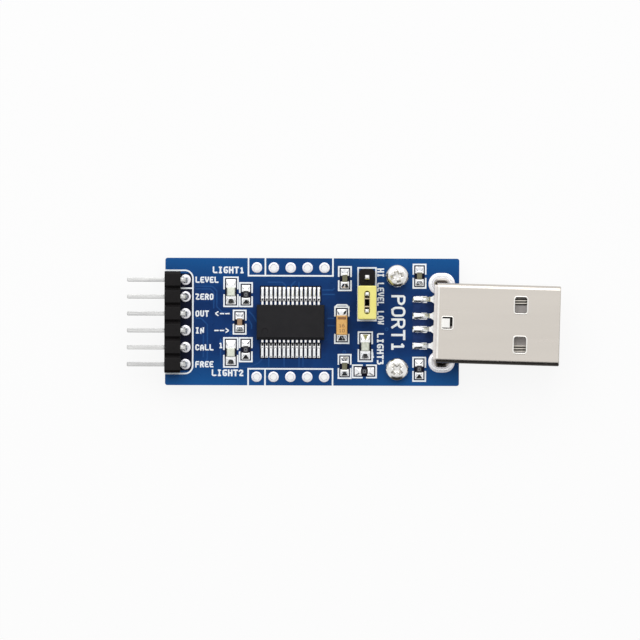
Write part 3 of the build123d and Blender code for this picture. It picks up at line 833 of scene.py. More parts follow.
    @staticmethod
    def rim(size: Point, corner: float, width: float, rise: float) -> Piece:
        """A low rounded bead along a rectangle with rounded corners, at the origin.

        Args:
            size: the rectangle's length and width, in millimetres.
            corner: its corner radius.
            width: how wide the bead is.
            rise: how high it stands.

        Returns:
            The bead.
        """
        bpy.ops.object.select_all(action="DESELECT")
        bpy.ops.mesh.primitive_plane_add(size=MM)
        piece = bpy.context.object
        piece.scale = (size[0], size[1], 1)
        bpy.ops.object.transform_apply(scale=True)
        Bench.edit()
        bpy.ops.mesh.bevel(offset=corner * MM, segments=6, affect="VERTICES")
        bpy.ops.mesh.select_all(action="SELECT")
        bpy.ops.mesh.delete(type="ONLY_FACE")
        Bench.leave()
        bpy.ops.object.convert(target="CURVE")
        curve = bpy.context.object.data
        curve.bevel_depth = width / 2 * MM
        curve.bevel_resolution = 3
        bpy.ops.object.convert(target="MESH")
        piece = bpy.context.object
        piece.scale.z = 2 * rise / width
        bpy.ops.object.transform_apply(scale=True)
        return piece

    @staticmethod
    def copied(name: str, master: Piece, places: Iterable[Matrix]) -> Piece:
        """Copies a master to each place, joins the copies and removes the master.

        Args:
            name: the joined piece's name.
            master: the piece to copy, which stands at the origin.
            places: where each copy goes.

        Returns:
            The joined piece.
        """
        copies = []
        for place in places:
            copy = bpy.data.objects.new(name, master.data.copy())
            bpy.context.scene.collection.objects.link(copy)
            copy.matrix_world = place @ master.matrix_world
            copies.append(copy)
        bpy.data.objects.remove(master)
        bpy.context.view_layer.update()
        Bench.take(*copies)
        bpy.ops.object.join()
        joined = bpy.context.object
        joined.name = name
        return joined

    @staticmethod
    def joined(name: str, pieces: Sequence[Piece]) -> Piece:
        """Joins pieces.

        Args:
            name: the joined piece's name.
            pieces: one piece or more.

        Returns:
            The joined piece.
        """
        Bench.take(*pieces)
        if len(pieces) > 1:
            bpy.ops.object.join()
        piece = bpy.context.object
        piece.name = name
        return piece

    @staticmethod
    def rounded(node: str, name: str, radius: float, angle: float = 30.0, segments: int = 2) -> Piece:
        """A copy of a solid whose hard edges are rounded.

        Args:
            node: the solid.
            name: the piece's name.
            radius: how far the rounding reaches from an edge, in millimetres.
            angle: edges that turn by more are rounded, in degrees.
            segments: how many faces the rounding has.

        Returns:
            The piece.
        """
        piece = bpy.data.objects.new(name, frame["nodes"][node].data.copy())
        bpy.context.scene.collection.objects.link(piece)
        Bench.take(piece)
        Bench.edit()
        bpy.ops.mesh.customdata_custom_splitnormals_clear()
        bpy.ops.mesh.remove_doubles(threshold=0.0005 * MM)
        bpy.ops.mesh.dissolve_limited(angle_limit=math.radians(0.5))
        Bench.leave()
        bevel = piece.modifiers.new("rounding", "BEVEL")
        bevel.width = radius * MM
        bevel.segments = segments
        bevel.limit_method = "ANGLE"
        bevel.angle_limit = math.radians(angle)
        bpy.ops.object.shade_smooth()
        weighted = piece.modifiers.new("flat_faces", "WEIGHTED_NORMAL")
        weighted.mode = "FACE_AREA_WITH_ANGLE"
        weighted.keep_sharp = True
        weighted.weight = 100
        for modifier in ("rounding", "flat_faces"):
            bpy.ops.object.modifier_apply(modifier=modifier)
        return piece


@dataclass(frozen=True)
class Solid:
    """One separate solid of a node, in metres."""

    points: tuple[Vector, ...]

    @property
    def low(self) -> Vector:
        """The lowest corner of its box."""
        return Vector(tuple(min(point[axis] for point in self.points) for axis in range(3)))

    @property
    def high(self) -> Vector:
        """The highest corner of its box."""
        return Vector(tuple(max(point[axis] for point in self.points) for axis in range(3)))

    @property
    def centre(self) -> Vector:
        """The middle of its box."""
        return (self.low + self.high) / 2

    @property
    def size(self) -> Vector:
        """The extent of its box."""
        return self.high - self.low

    @classmethod
    def all_of(cls, node: str) -> list["Solid"]:
        """Every separate solid of a node, in order along x and then y.

        Args:
            node: the node.

        Returns:
            The solids.
        """
        mesh = bmesh.new()
        mesh.from_mesh(frame["nodes"][node].data)
        bmesh.ops.remove_doubles(mesh, verts=mesh.verts, dist=0.0005 * MM)
        unseen = set(mesh.verts)
        found = []
        while unseen:
            group, edge = set(), [unseen.pop()]
            while edge:
                vertex = edge.pop()
                group.add(vertex)
                near = {link.other_vert(vertex) for link in vertex.link_edges} & unseen
                unseen -= near
                edge.extend(near)
            found.append(cls(tuple(vertex.co.copy() for vertex in group)))
        mesh.free()
        return sorted(found, key=lambda solid: (round(solid.centre.x, 5), round(solid.centre.y, 5)))


class Board:
    """The board's own frame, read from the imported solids."""

    def __init__(self) -> None:
        """Reads where the board's corner, centre line and top are, and how thick it is."""
        low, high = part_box("circuit_board")
        header_low, header_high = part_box("header_body")
        self.left = low.x
        self.middle = (header_low.y + header_high.y) / 2
        self.top = high.z
        self.thickness = (high.z - low.z) / MM

    def at(self, x: float, y: float, z: float = 0.0) -> Vector:
        """A place on the board, in metres of the shared frame."""
        return Vector((self.left + x * MM, self.middle + y * MM, self.top + z * MM))

    def on(self, place: Vector) -> Point:
        """The board's x and y, in millimetres, of a place in the shared frame."""
        return (place.x - self.left) / MM, (place.y - self.middle) / MM


class Paintbox:
    """Dresses pieces: gives each its finish and its body."""

    def __init__(self) -> None:
        """Builds every finish once."""
        effects = Effects()
        finishes = Finishes()
        self.made = {
            name: getattr(finishes, name).build(effects) for name in finishes.__dataclass_fields__
        }

    def coat(self, node: str, finish: str) -> None:
        """Gives a solid that stays in view its finish."""
        for slot in frame["nodes"][node].material_slots:
            slot.material = self.made[finish]

    def dress(
        self, piece: Piece, finish: str, slot: str, body: str = MODULE, stands_for: Sequence[str] = ()
    ) -> Piece:
        """Finishes a new piece.

        Args:
            piece: the piece.
            finish: the name of its finish.
            slot: the record's slot; not used.
            body: the body that it moves with.
            stands_for: the solids that it replaces in view.

        Returns:
            The piece.
        """
        piece.data.materials.clear()
        piece.data.materials.append(self.made[finish])
        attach(piece, body)
        if stands_for:
            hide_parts(*stands_for)
        log.info("made %s", piece.name)
        return piece


@dataclass
class Assembly:
    """A part of the module, which stands on the board and takes its finishes from the paintbox."""

    board: Board
    paint: Paintbox

    def build(self) -> None:
        """Shapes and dresses the assembly."""
        raise NotImplementedError


@dataclass
class Laminate(Assembly):
    """The bare board: windows in the mask, a sheet of painted shade between the plug's leads, copper runs
    under it and small vias.
    """

    window_rise: float = 0.004
    window_corner: float = 0.18
    chip_margin: float = 0.17
    row_margin: float = 0.2
    header_reach: Point = (-0.2, 1.75)
    header_margin: float = 0.95
    gap_reach: Point = (0.1, 0.3)
    gap_half: float = 3.9
    run_width: float = 0.22
    run_rise: float = 0.014
    via_radius: float = 0.30
    via_hole: float = 0.12
    vias: tuple[Point, ...] = ((33.3, -1.0), (26.95, -4.45), (9.5, 3.55), (9.9, -1.7), (8.45, -3.0))

    def window(self, low: Point, high: Point) -> Piece:
        """A thin field over the board, for a window of bare laminate and for the sheet of painted shade
        between the plug's leads.

        Args:
            low: its lower left corner.
            high: its upper right corner.

        Returns:
            The field.
        """
        middle = self.board.at((low[0] + high[0]) / 2, (low[1] + high[1]) / 2)
        bpy.ops.object.select_all(action="DESELECT")
        bpy.ops.mesh.primitive_plane_add(size=MM, location=middle)
        piece = bpy.context.object
        piece.scale = (high[0] - low[0], high[1] - low[1], 1)
        bpy.ops.object.transform_apply(location=False, rotation=False, scale=True)
        Bench.edit()
        bpy.ops.mesh.bevel(offset=self.window_corner * MM, segments=4, affect="VERTICES")
        bpy.ops.mesh.select_all(action="SELECT")
        rise = (0, 0, self.window_rise * MM)
        bpy.ops.mesh.extrude_region_move(TRANSFORM_OT_translate={"value": rise})
        Bench.leave()
        return piece

    def around(self, solids: Sequence[Solid], margin: float) -> Piece:
        """A window round some lands.

        Args:
            solids: the lands.
            margin: how far the window reaches past them.

        Returns:
            The window.
        """
        low = self.board.on(Vector(tuple(min(s.low[i] for s in solids) for i in range(3))))
        high = self.board.on(Vector(tuple(max(s.high[i] for s in solids) for i in range(3))))
        return self.window((low[0] - margin, low[1] - margin), (high[0] + margin, high[1] + margin))

    @staticmethod
    def faces(land: Solid, other: Solid) -> bool:
        """Whether two lands have one size and stand in line, as the two lands of a part do.

        Args:
            land: a land.
            other: another land.

        Returns:
            Whether they may be a pair.
        """
        apart = other.centre - land.centre
        same = (other.size - land.size).length < 0.01 * MM
        return same and min(abs(apart.x), abs(apart.y)) < 0.01 * MM

    def windows(self) -> None:
        """Windows round every pair of lands, the controller's rows and the header's lands, and painted
        shade round the plug's lands.
        """
        made = []
        unpaired = Solid.all_of("chip_lands")
        while unpaired:
            first = unpaired.pop(0)
            mate = min(
                (land for land in unpaired if self.faces(first, land)),
                key=lambda land: (land.centre - first.centre).length,
            )
            unpaired.remove(mate)
            made.append(self.around([first, mate], self.chip_margin))
        rows = Solid.all_of("controller_lands")
        for side in (1, -1):
            row = [land for land in rows if (land.centre.y - self.board.middle) * side > 0]
            made.append(self.around(row, self.row_margin))
        pins = [Solid.all_of(f"header_pin_{index}")[0] for index in (1, 6)]
        back = self.board.on(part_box("header_body")[1])[0]
        start, end = (back + reach for reach in self.header_reach)
        top = self.board.on(pins[0].centre)[1] + self.header_margin
        bottom = self.board.on(pins[1].centre)[1] - self.header_margin
        made.append(self.window((start, bottom), (end, top)))
        piece = Bench.settle(Bench.joined("mask_windows", made), 20)
        self.paint.dress(piece, "window", "blue_board")

        # Painted shade: a sheet of darker mask between the plug's leads.
        toe = self.board.on(Solid.all_of("plug_lands")[0].low)[0] + self.gap_reach[0]
        rear = self.board.on(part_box("plug_insulator")[0])[0] + self.gap_reach[1]
        gap = self.window((toe, -self.gap_half), (rear, self.gap_half))
        self.paint.dress(Bench.settle(gap, 20), "gap", "blue_board")

    def routes(self) -> list[list[Point]]:
        """The copper runs from the header and the rows of holes to the controller and its neighbours.

        Returns:
            The corners of each run.
        """
        header_x = 4.55
        return [
            [(header_x, 5.35), (7.1, 5.35), (7.75, 4.7), (7.75, 2.3), (8.6, 1.45), (9.4, 1.45)],
            [(header_x, 4.95), (6.8, 4.95), (7.3, 4.45), (7.3, 2.05)],
            [(header_x, 0.55), (5.4, 0.55), (6.35, -0.4), (6.35, -5.6), (5.9, -6.05)],
            [(5.75, -1.9), (5.75, -5.3)],
            [(8.35, -2.5), (8.35, -7.4), (7.3, -8.45)],
            [(12.6, 1.6), (13.2, 1.0), (14.1, -0.5), (14.1, -1.6)],
            [(12.2, 1.0), (13.0, -0.4), (13.0, -1.0)],
            [(15.4, 6.0), (17.6, 6.0), (18.15, 5.45), (18.15, 5.0)],
            [(19.6, 6.2), (18.95, 5.55), (18.95, 5.0)],
            [(20.1, 6.1), (20.1, 5.0)],
            [(23.6, 4.85), (25.2, 4.85), (25.5, 5.15)],
            [(23.6, 4.2), (25.5, 4.2)],
            [(14.6, -5.6), (14.0, -6.2), (12.4, -6.9), (11.2, -6.9)],
            [(15.6, -5.2), (15.6, -6.7)],
            [(17.9, -5.2), (17.9, -6.7)],
            [(20.15, -5.2), (20.15, -6.7)],
            [(20.75, -5.2), (20.75, -6.7)],
            [(24.4, 0.6), (25.4, 0.6)],
            [(24.4, -0.5), (25.5, -0.5)],
        ]

    def copper(self) -> None:
        """Lays the copper runs under the mask, and the vias."""
        corners = [[self.board.at(*corner) for corner in route] for route in self.routes()]
        runs = [Bench.line(route, self.run_width, self.run_rise) for route in corners]
        outer, inner = self.via_radius, self.via_hole
        profile = [
            (outer, 0.0),
            (outer * 0.92, self.run_rise),
            (inner * 1.3, self.run_rise),
            (inner, 0.0),
            (outer, 0.0),
        ]
        rings = [Bench.turned("via", profile, self.board.at(x, y), 20, True) for x, y in self.vias]
        piece = Bench.settle(Bench.joined("copper_under_mask", runs + rings), 60)
        self.paint.dress(piece, "trace", "blue_board")

    def build(self) -> None:
        """Dresses the board."""
        self.paint.coat("circuit_board", "mask")
        self.windows()
        self.copper()


GLYPHS: dict[str, tuple[tuple[Point, ...], ...]] = {
    "0": (((1, 0), (3, 0), (4, 1), (4, 5), (3, 6), (1, 6), (0, 5), (0, 1), (1, 0)),),
    "1": (((1, 5), (2, 6), (2, 0)), ((1, 0), (3, 0))),
    "2": (((0, 5), (1, 6), (3, 6), (4, 5), (4, 4), (0, 0), (4, 0)),),
    "3": (((0, 6), (4, 6), (2, 3.5), (3, 3.5), (4, 2.5), (4, 1), (3, 0), (0, 0)),),
    "6": (((3.5, 6), (1.5, 6), (0, 4.5), (0, 1), (1, 0), (3, 0), (4, 1), (4, 2.3), (3, 3.3), (0, 3.3)),),
    "A": (((0, 0), (0, 4), (2, 6), (4, 4), (4, 0)), ((0, 2), (4, 2))),
    "C": (((4, 5), (3, 6), (1, 6), (0, 5), (0, 1), (1, 0), (3, 0), (4, 1)),),
    "E": (((4, 6), (0, 6), (0, 0), (4, 0)), ((0, 3), (3, 3))),
    "F": (((4, 6), (0, 6), (0, 0)), ((0, 3), (3, 3))),
    "G": (((4, 6), (1, 6), (0, 5), (0, 1), (1, 0), (4, 0), (4, 2.7), (2.6, 2.7)),),
    "H": (((0, 6), (0, 0)), ((4, 6), (4, 0)), ((0, 3), (4, 3))),
    "I": (((1, 6), (3, 6)), ((2, 6), (2, 0)), ((1, 0), (3, 0))),
    "L": (((0, 6), (0, 0), (4, 0)),),
    "N": (((0, 0), (0, 6), (4, 0), (4, 6)),),
    "O": (((1, 0), (3, 0), (4, 1), (4, 5), (3, 6), (1, 6), (0, 5), (0, 1), (1, 0)),),
    "P": (((0, 0), (0, 6), (3, 6), (4, 5), (4, 4), (3, 3), (0, 3)),),
    "R": (((0, 0), (0, 6), (3, 6), (4, 5), (4, 4), (3, 3), (0, 3)), ((2, 3), (4, 0))),
    "T": (((0, 6), (4, 6)), ((2, 6), (2, 0))),
    "U": (((0, 6), (0, 1), (1, 0), (3, 0), (4, 1), (4, 6)),),
    "V": (((0, 6), (0, 4), (2, 0), (4, 4), (4, 6)),),
    "W": (((0, 6), (0.6, 0), (2, 4), (3.4, 0), (4, 6)),),
    "Z": (((0, 6), (4, 6), (0, 0), (4, 0)),),
    "<": (((3.5, 5.5), (0.5, 3), (3.5, 0.5)),),
    ">": (((0.5, 5.5), (3.5, 3), (0.5, 0.5)),),
    "-": (((0.2, 3), (3.8, 3)),),
}
GLYPH_WIDTH = 4
GLYPH_HEIGHT = 6


@dataclass(frozen=True)
class Type:
    """A size of lettering, in millimetres, outer edge to outer edge of its strokes."""

    height: float
    advance: float
    stroke: float


class Size(Enum):
    """The sizes of lettering on the module."""

    NAMES = Type(0.95, 0.71, 0.22)
    LAMPS = Type(1.02, 0.81, 0.24)
    SETTINGS = Type(1.05, 0.715, 0.22)
    LARGE = Type(2.12, 1.75, 0.35)
    ARROWS = Type(0.82, 0.82, 0.20)
    MARKS = Type(0.52, 0.46, 0.08)


class Word(NamedTuple):
    """A printed word: what it says, where its first letter's foot is, its size and how it is turned."""

    text: str
    place: Point
    size: Size
    turn: Turn = Turn.ALONG


@dataclass
class Lettering(Assembly):
    """Print: plain words and numbers, arrows, polarity marks, and the marks on the parts."""

    thickness: float = 0.028
    fill: float = 0.87
    names_x: float = 4.53
    arrows_x: float = 7.37
    names: tuple[str, ...] = ("LEVEL", "ZERO", "OUT", "IN", "CALL", "FREE")
    words: tuple[Word, ...] = (
        Word("LIGHT1", (7.12, 7.33), Size.LAMPS),
        Word("LIGHT2", (7.02, -8.14), Size.LAMPS),
        Word("LIGHT3", (31.85, -1.58), Size.LAMPS, Turn.DOWN),
        Word("HI", (31.85, 8.15), Size.SETTINGS, Turn.DOWN),
        Word("LEVEL", (31.85, 6.0), Size.SETTINGS, Turn.DOWN),
        Word("LOW", (31.85, 1.75), Size.SETTINGS, Turn.DOWN),
        Word("PORT1", (34.0, 4.15), Size.LARGE, Turn.DOWN),
        Word("1", (8.08, -3.95), Size.NAMES),
        Word("1", (30.9, -5.3), Size.NAMES),
    )
    stripe_width: float = 0.42
    stripe_inset: float = 0.2
    mark_rows: tuple[tuple[str, float], ...] = (("10", 0.4), ("16", 1.15))

    def printed(self, word: Word, z: float = 0.0) -> Piece:
        """Prints a word in single strokes.

        Args:
            word: the word.
            z: how high the face is that it is printed on.

        Returns:
            The print.
        """
        size = word.size.value
        foot = self.board.at(*word.place, z)
        turned = Matrix.Rotation(math.radians(word.turn.value), 3, "Z")
        unit = (size.height - size.stroke) / GLYPH_HEIGHT
        broad = (size.advance * self.fill - size.stroke) / GLYPH_WIDTH
        inset = size.stroke / 2
        lines = []
        for index, letter in enumerate(word.text):
            start = index * size.advance + inset
            for stroke in GLYPHS[letter]:
                corners = [Vector((start + x * broad, inset + y * unit, 0)) * MM for x, y in stroke]
                route = [foot + turned @ corner for corner in corners]
                lines.append(Bench.line(route, size.stroke, self.thickness, inset))
        return Bench.joined(word.text, lines)

    def board_print(self) -> None:
        """The words and arrows on the board, those of the header in line with its pins."""
        prints = []
        for index, text in enumerate(self.names, 1):
            pin = Solid.all_of(f"header_pin_{index}")[0]
            y = self.board.on(pin.centre)[1]
            place = (self.names_x, y - Size.NAMES.value.height / 2)
            prints.append(self.printed(Word(text, place, Size.NAMES)))
            arrow = {"OUT": "<--", "IN": "-->"}.get(text)
            if arrow:
                place = (self.arrows_x, y - Size.ARROWS.value.height / 2)
                prints.append(self.printed(Word(arrow, place, Size.ARROWS)))
        prints.extend(self.printed(word) for word in self.words)
        piece = Bench.settle(Bench.joined("lettering", prints), 20)
        self.paint.dress(piece, "ink", "white_ink")

    def part_marks(self) -> None:
        """The marks on the resistors, and the stripe and marks on the tantalum capacitor."""
        marks = []
        for index in range(1, 5):
            low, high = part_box(f"resistor_{index}")
            x, y = self.board.on((low + high) / 2)
            top = (high.z - self.board.top) / MM
            size = Size.MARKS.value
            middle = (x - size.advance * self.fill / 2, y - size.height / 2)
            marks.append(self.printed(Word("0", middle, Size.MARKS), top))
        piece = Bench.settle(Bench.joined("resistor_marks", marks), 20)
        self.paint.dress(piece, "faded_ink", "white_ink")

        low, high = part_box("tantalum_capacitor_body")
        left, bottom = self.board.on(low)
        right, upper = self.board.on(high)
        top = (high.z - self.board.top) / MM
        ends = (left + self.stripe_inset, right - self.stripe_inset)
        stripe = [self.board.at(x, upper - self.stripe_width, top) for x in ends]
        lines = [Bench.line(stripe, self.stripe_width, self.thickness / 2)]
        for text, rise in self.mark_rows:
            place = (left + self.stripe_width, bottom + rise)
            lines.append(self.printed(Word(text, place, Size.MARKS), top))
        piece = Bench.settle(Bench.joined("tantalum_marks", lines), 20)
        self.paint.dress(piece, "stripe", "orange_moulding")

    def build(self) -> None:
        """Prints everything."""
        self.paint.coat("printed_outlines", "ink")
        self.board_print()
        self.part_marks()


@dataclass
class PlatedHoles(Assembly):
    """The plated linings and rings of the round holes, and of the plug's two slots."""

    hole_radius: float = 0.5
    ring_radius: float = 0.80
    plating: float = 0.03
    ring_rise: float = 0.045
    slot_ring_radius: float = 1.65
    slot_radius: float = 0.85
    slot_stretch: float = 0.7
    dish: tuple[Point, ...] = (
        (0.05, -0.34),
        (0.30, -0.30),
        (0.55, -0.16),
        (0.80, 0.0),
        (1.10, 0.07),
        (1.35, 0.065),
        (1.42, 0.04),
        (0.86, -0.2),
        (0.84, -0.6),
        (0.05, -0.6),
    )

    def profile(self, hole: float, ring: float) -> list[tuple[float, float]]:
        """The closed section of a plated hole.

        Args:
            hole: the drilled radius.
            ring: the radius of its ring.

        Returns:
            The radius and height of each corner.
        """
        bore = hole - self.plating
        lip = self.plating * 1.5
        under = -self.board.thickness
        return [
            (ring, 0.0),
            (ring - self.ring_rise * 0.3, self.ring_rise * 0.75),
            (ring - self.ring_rise, self.ring_rise),
            (bore + lip, self.ring_rise),
            (bore, self.ring_rise - lip),
            (bore, under - self.ring_rise + lip),
            (bore + lip, under - self.ring_rise),
            (ring - self.ring_rise, under - self.ring_rise),
            (ring - self.ring_rise * 0.3, under - self.ring_rise * 0.75),
            (ring, under),
            (hole, under),
            (hole, 0.0),
            (ring, 0.0),
        ]

    def places(self) -> list[Vector]:
        """Where the round plated holes are: the two rows, the header's legs and the jumper's.

        Returns:
            A place on the board's top for each.
        """
        places = []
        for mount in frame["record"]["mounts"]:
            if mount["kind"] == "bore":
                x, y, _ = mount["pos_m"]
                places.append(Vector((x, y, self.board.top)))
        for node in ("header_solder", "jumper_solder"):
            for solid in Solid.all_of(node):
                places.append(Vector((solid.centre.x, solid.centre.y, self.board.top)))
        return places

    def slots(self) -> list[Piece]:
        """The plated rings of the two slots.

        Returns:
            The rings.
        """
        made = []
        for solid in Solid.all_of("plug_leg_solder"):
            place = Vector((solid.centre.x, solid.centre.y, self.board.top))
            profile = self.profile(self.slot_radius, self.slot_ring_radius)
            piece = Bench.turned("slot_ring", profile, place, 48, True)
            made.append(self.stretched(piece, place))
        return made

    def stretched(self, piece: Piece, place: Vector) -> Piece:
        """Parts a round piece at its middle and pulls it out lengthwise to fit a slot.

        Args:
            piece: the piece.
            place: where its axis is.

        Returns:
            The piece.
        """
        Bench.take(piece)
        bpy.ops.object.transform_apply(location=True, rotation=True, scale=True)
        Bench.edit(False)
        for side in (1, -1):
            Bench.pick(lambda co, side=side: (co.x - place.x) * side > 0.001 * MM)
            bpy.ops.transform.translate(value=(side * self.slot_stretch / 2 * MM, 0, 0))
        Bench.leave()
        return piece

    def dishes(self) -> None:
        """The solder that fills each slot round the plug's leg and sinks towards its middle."""
        made = []
        for solid in Solid.all_of("plug_leg_solder"):
            place = Vector((solid.centre.x, solid.centre.y, self.board.top))
            piece = Bench.turned("dish", self.dish, place, 48)
            made.append(self.stretched(piece, place))
        piece = Bench.settle(Bench.joined("slot_solder", made), 50)
        self.paint.dress(piece, "pooled", "solder")

    def build(self) -> None:
        """Plates every hole."""
        origin = Vector((0, 0, 0))
        master = Bench.turned("ring", self.profile(self.hole_radius, self.ring_radius), origin, 40, True)
        rings = Bench.copied("plated_holes", master, [Matrix.Translation(place) for place in self.places()])
        self.paint.dress(Bench.settle(rings, 40), "pad", "tinned_land")
        piece = Bench.settle(Bench.joined("plated_slots", self.slots()), 40)
        self.paint.dress(piece, "pad", "tinned_land")
        self.dishes()


@dataclass
class ChipJoints(Assembly):
    """Concave solder at the ends of the chip parts, lamps and tantalum capacitor."""

    steps: int = 7
    toe_height: float = 0.03
    hollow: float = 1.15
    overlap: float = 0.03
    flares: tuple[tuple[float, float], ...] = ((0.8, 1.48), (1.25, 1.14), (1.2, 1.18))

    def stations(self, flare: float) -> list[Station]:
        """Sections of a joint that is 1 mm long, 1 mm wide at the part and 1 mm tall there.

        Args:
            flare: how wide it is at its foot.

        Returns:
            The sections.
        """
        made = [Station(-self.overlap, 0.98, 0.98)]
        for step in range(self.steps + 1):
            along = step / self.steps
            height = (1 - along) ** self.hollow * (1 - self.toe_height) + self.toe_height
            width = 1 + (flare - 1) * math.sin(along * math.pi / 2) - 0.12 * along**6
            made.append(Station(along, width, height))
        return made

    def places(self, part_width: float) -> list[Matrix]:
        """Where the joints of parts of one width are, how they are turned and how large they are.

        Args:
            part_width: the width.

        Returns:
            What brings the joint that stations gives to each place.
        """
        places = []
        for wedge in Solid.all_of("chip_solder"):
            crest = [point for point in wedge.points if point.z > wedge.high.z - 0.002 * MM]
            crest_middle = sum(crest, Vector()) / len(crest)
            out = wedge.centre - crest_middle
            out.z = 0
            out.normalize()
            width = abs(wedge.size.y * out.x) + abs(wedge.size.x * out.y)
            run = abs(wedge.size.x * out.x) + abs(wedge.size.y * out.y)
            if abs(width / MM - part_width) < 0.01:
                foot = Vector((crest_middle.x, crest_middle.y, wedge.low.z))
                turn = Matrix.Rotation(math.atan2(-out.x, out.y), 4, "Z")
                grow = Matrix.Diagonal((width / MM, run / MM, wedge.size.z / MM, 1))
                places.append(Matrix.Translation(foot) @ turn @ grow)
        return places

    def build(self) -> None:
        """Shapes a joint for each width of part and copies it to its places."""
        families = []
        for part_width, flare in self.flares:
            master = Bench.drawn("joint", self.stations(flare))
            families.append(Bench.copied("joint", master, self.places(part_width)))
        piece = Bench.settle(Bench.joined("chip_joints", families), 50)
        self.paint.dress(piece, "solder", "solder", stands_for=["chip_solder"])


@dataclass
class ChipParts(Assembly):
    """Resistors, ceramic capacitors, lamps and the tantalum capacitor, with softened edges."""

    edge: float = 0.05
    fine_edge: float = 0.03
    base_edge: float = 0.02
    lens_edge: float = 0.09
    moulded_edge: float = 0.07

    def bodies(self) -> None:
        """The chips' bodies and end caps."""
        for index in range(1, 5):
            node = f"resistor_{index}"
            piece = Bench.rounded(node, f"{node}_body", self.fine_edge)
            self.paint.dress(piece, "resistor", "resistor_ceramic", stands_for=[node])
            node = f"ceramic_capacitor_{index}"
            piece = Bench.rounded(node, f"{node}_body", self.edge)
            ceramic = "tan_ceramic" if index == 1 else "grey_ceramic"
            self.paint.dress(piece, ceramic, ceramic, stands_for=[node])
        for node in ("resistor_end_caps", "capacitor_end_caps"):
            piece = Bench.rounded(node, f"{node}_rounded", self.fine_edge)
            self.paint.dress(piece, "tin", "tinned_land", stands_for=[node])

    def lamps(self) -> None:
        """The light-emitting diodes."""
        for name in ("transmit", "receive", "power"):
            base = Bench.rounded(f"{name}_led_base", f"{name}_lamp_base", self.base_edge)
            self.paint.dress(base, "substrate", "lamp_substrate", stands_for=[f"{name}_led_base"])
            lens = Bench.rounded(f"{name}_led_lens", f"{name}_lamp_lens", self.lens_edge, segments=3)
            self.paint.dress(lens, "lens", "lamp_lens", stands_for=[f"{name}_led_lens"])
        self.paint.coat("led_terminals", "tin")

    def tantalum(self) -> None:
        """The tantalum capacitor."""
        node = "tantalum_capacitor_body"
        body = Bench.rounded(node, "tantalum_body", self.moulded_edge, segments=3)
        self.paint.dress(body, "tantalum", "orange_moulding", stands_for=[node])
        self.paint.coat("tantalum_capacitor_terminals", "post")

    def build(self) -> None:
        """Dresses the chip parts."""
        self.bodies()
        self.lamps()
        self.tantalum()
        self.paint.coat("chip_lands", "tin")


@dataclass
class Headers(Assembly):
    """The right-angle header, the jumper header and the jumper's cap."""

    pin_edge: float = 0.05
    block_edge: float = 0.05
    cap_edge: float = 0.05
    clip_edge: float = 0.03
    fillet_foot: float = 0.56
    fillet_top: float = 0.36
    fillet_height: float = 0.16
    steps: int = 5
    dry_leg: int = 1

    def fillet(self, name: str) -> Piece:
        """A concave ring of solder round a square pin, on the plane z = 0.

        Args:
            name: the piece's name.

        Returns:
            The ring.
        """
        profile = []
        for step in range(self.steps + 1):
            along = step / self.steps
            radius = self.fillet_foot + (self.fillet_top - self.fillet_foot) * along
            profile.append((radius, 0.02 + self.fillet_height * along**2.4))
        return Bench.turned(name, [(self.fillet_foot, 0.0), *profile], Vector((0, 0, 0)), 32)

    def pins(self) -> None:
        """Pins with softened edges, and solder on the top side of all header legs but one."""
        for prefix, count, finish in (("header", 6, "pin"), ("jumper", 3, "post")):
            for index in range(1, count + 1):
                node = f"{prefix}_pin_{index}"
                piece = Bench.rounded(node, f"{node}_rounded", self.pin_edge)
                self.paint.dress(piece, finish, "tinned_pin", stands_for=[node])
        legs = sorted(Solid.all_of("header_solder"), key=lambda solid: -solid.centre.y)
        places = [
            Matrix.Translation((leg.centre.x, leg.centre.y, self.board.top))
            for index, leg in enumerate(legs)
            if index != self.dry_leg
        ]
        joints = Bench.settle(Bench.copied("header_top_solder", self.fillet("fillet"), places), 50)
        self.paint.dress(joints, "solder", "solder")

    def blocks(self) -> None:
        """The moulded blocks."""
        for node in ("header_body", "jumper_header_body"):
            piece = Bench.rounded(node, f"{node}_rounded", self.block_edge)
            self.paint.dress(piece, "block", "black_moulding", stands_for=[node])

    def cap(self) -> None:
        """The jumper's cap and its clip."""
        shell = Bench.rounded("jumper_cap_shell", "jumper_cap_rounded", self.cap_edge)
        self.paint.dress(shell, "cap", "pale_yellow_moulding", CAP, ["jumper_cap_shell"])
        clip = Bench.rounded("jumper_cap_clip", "jumper_clip_rounded", self.clip_edge)
        self.paint.dress(clip, "clip", "clip_metal", CAP, ["jumper_cap_clip"])

    def build(self) -> None:
        """Dresses both headers and the cap."""
        self.pins()
        self.blocks()
        self.cap()
        for node in ("header_solder", "jumper_solder"):
            self.paint.coat(node, "solder")


@dataclass
class Controller(Assembly):
    """The controller: its moulded body, its leads and the solder at their toes."""

    edge: float = 0.06

    def joints(self) -> None:
        """A rounded mound of solder over the outer end of each land."""
        stations = [
            Station(0.02, 0.36, 0.10),
            Station(0.14, 0.41, 0.12),
            Station(0.45, 0.43, 0.10),
            Station(0.85, 0.43, 0.09),
            Station(1.12, 0.42, 0.08),
            Station(1.26, 0.36, 0.06),
            Station(1.33, 0.22, 0.03),
        ]
        places = []
        for wedge in Solid.all_of("controller_solder"):
            side = 1 if wedge.centre.y > self.board.middle else -1
            near = wedge.low.y if side > 0 else wedge.high.y
            turn = Matrix.Rotation(0.0 if side > 0 else math.pi, 4, "Z")
            places.append(Matrix.Translation((wedge.centre.x, near, wedge.low.z)) @ turn)
        master = Bench.drawn("toe", stations, 14)
        piece = Bench.settle(Bench.copied("controller_joints", master, places), 60)
        self.paint.dress(piece, "solder", "solder", stands_for=["controller_solder"])

    def build(self) -> None:
        """Dresses the controller."""
        body = Bench.rounded("controller_body", "controller_moulding", self.edge)
        self.paint.dress(body, "controller", "controller_moulding", stands_for=["controller_body"])
        self.paint.coat("controller_leads_upper", "upper_lead")
        self.paint.coat("controller_leads_lower", "lower_lead")
        self.paint.coat("controller_lands", "tin")
        self.joints()


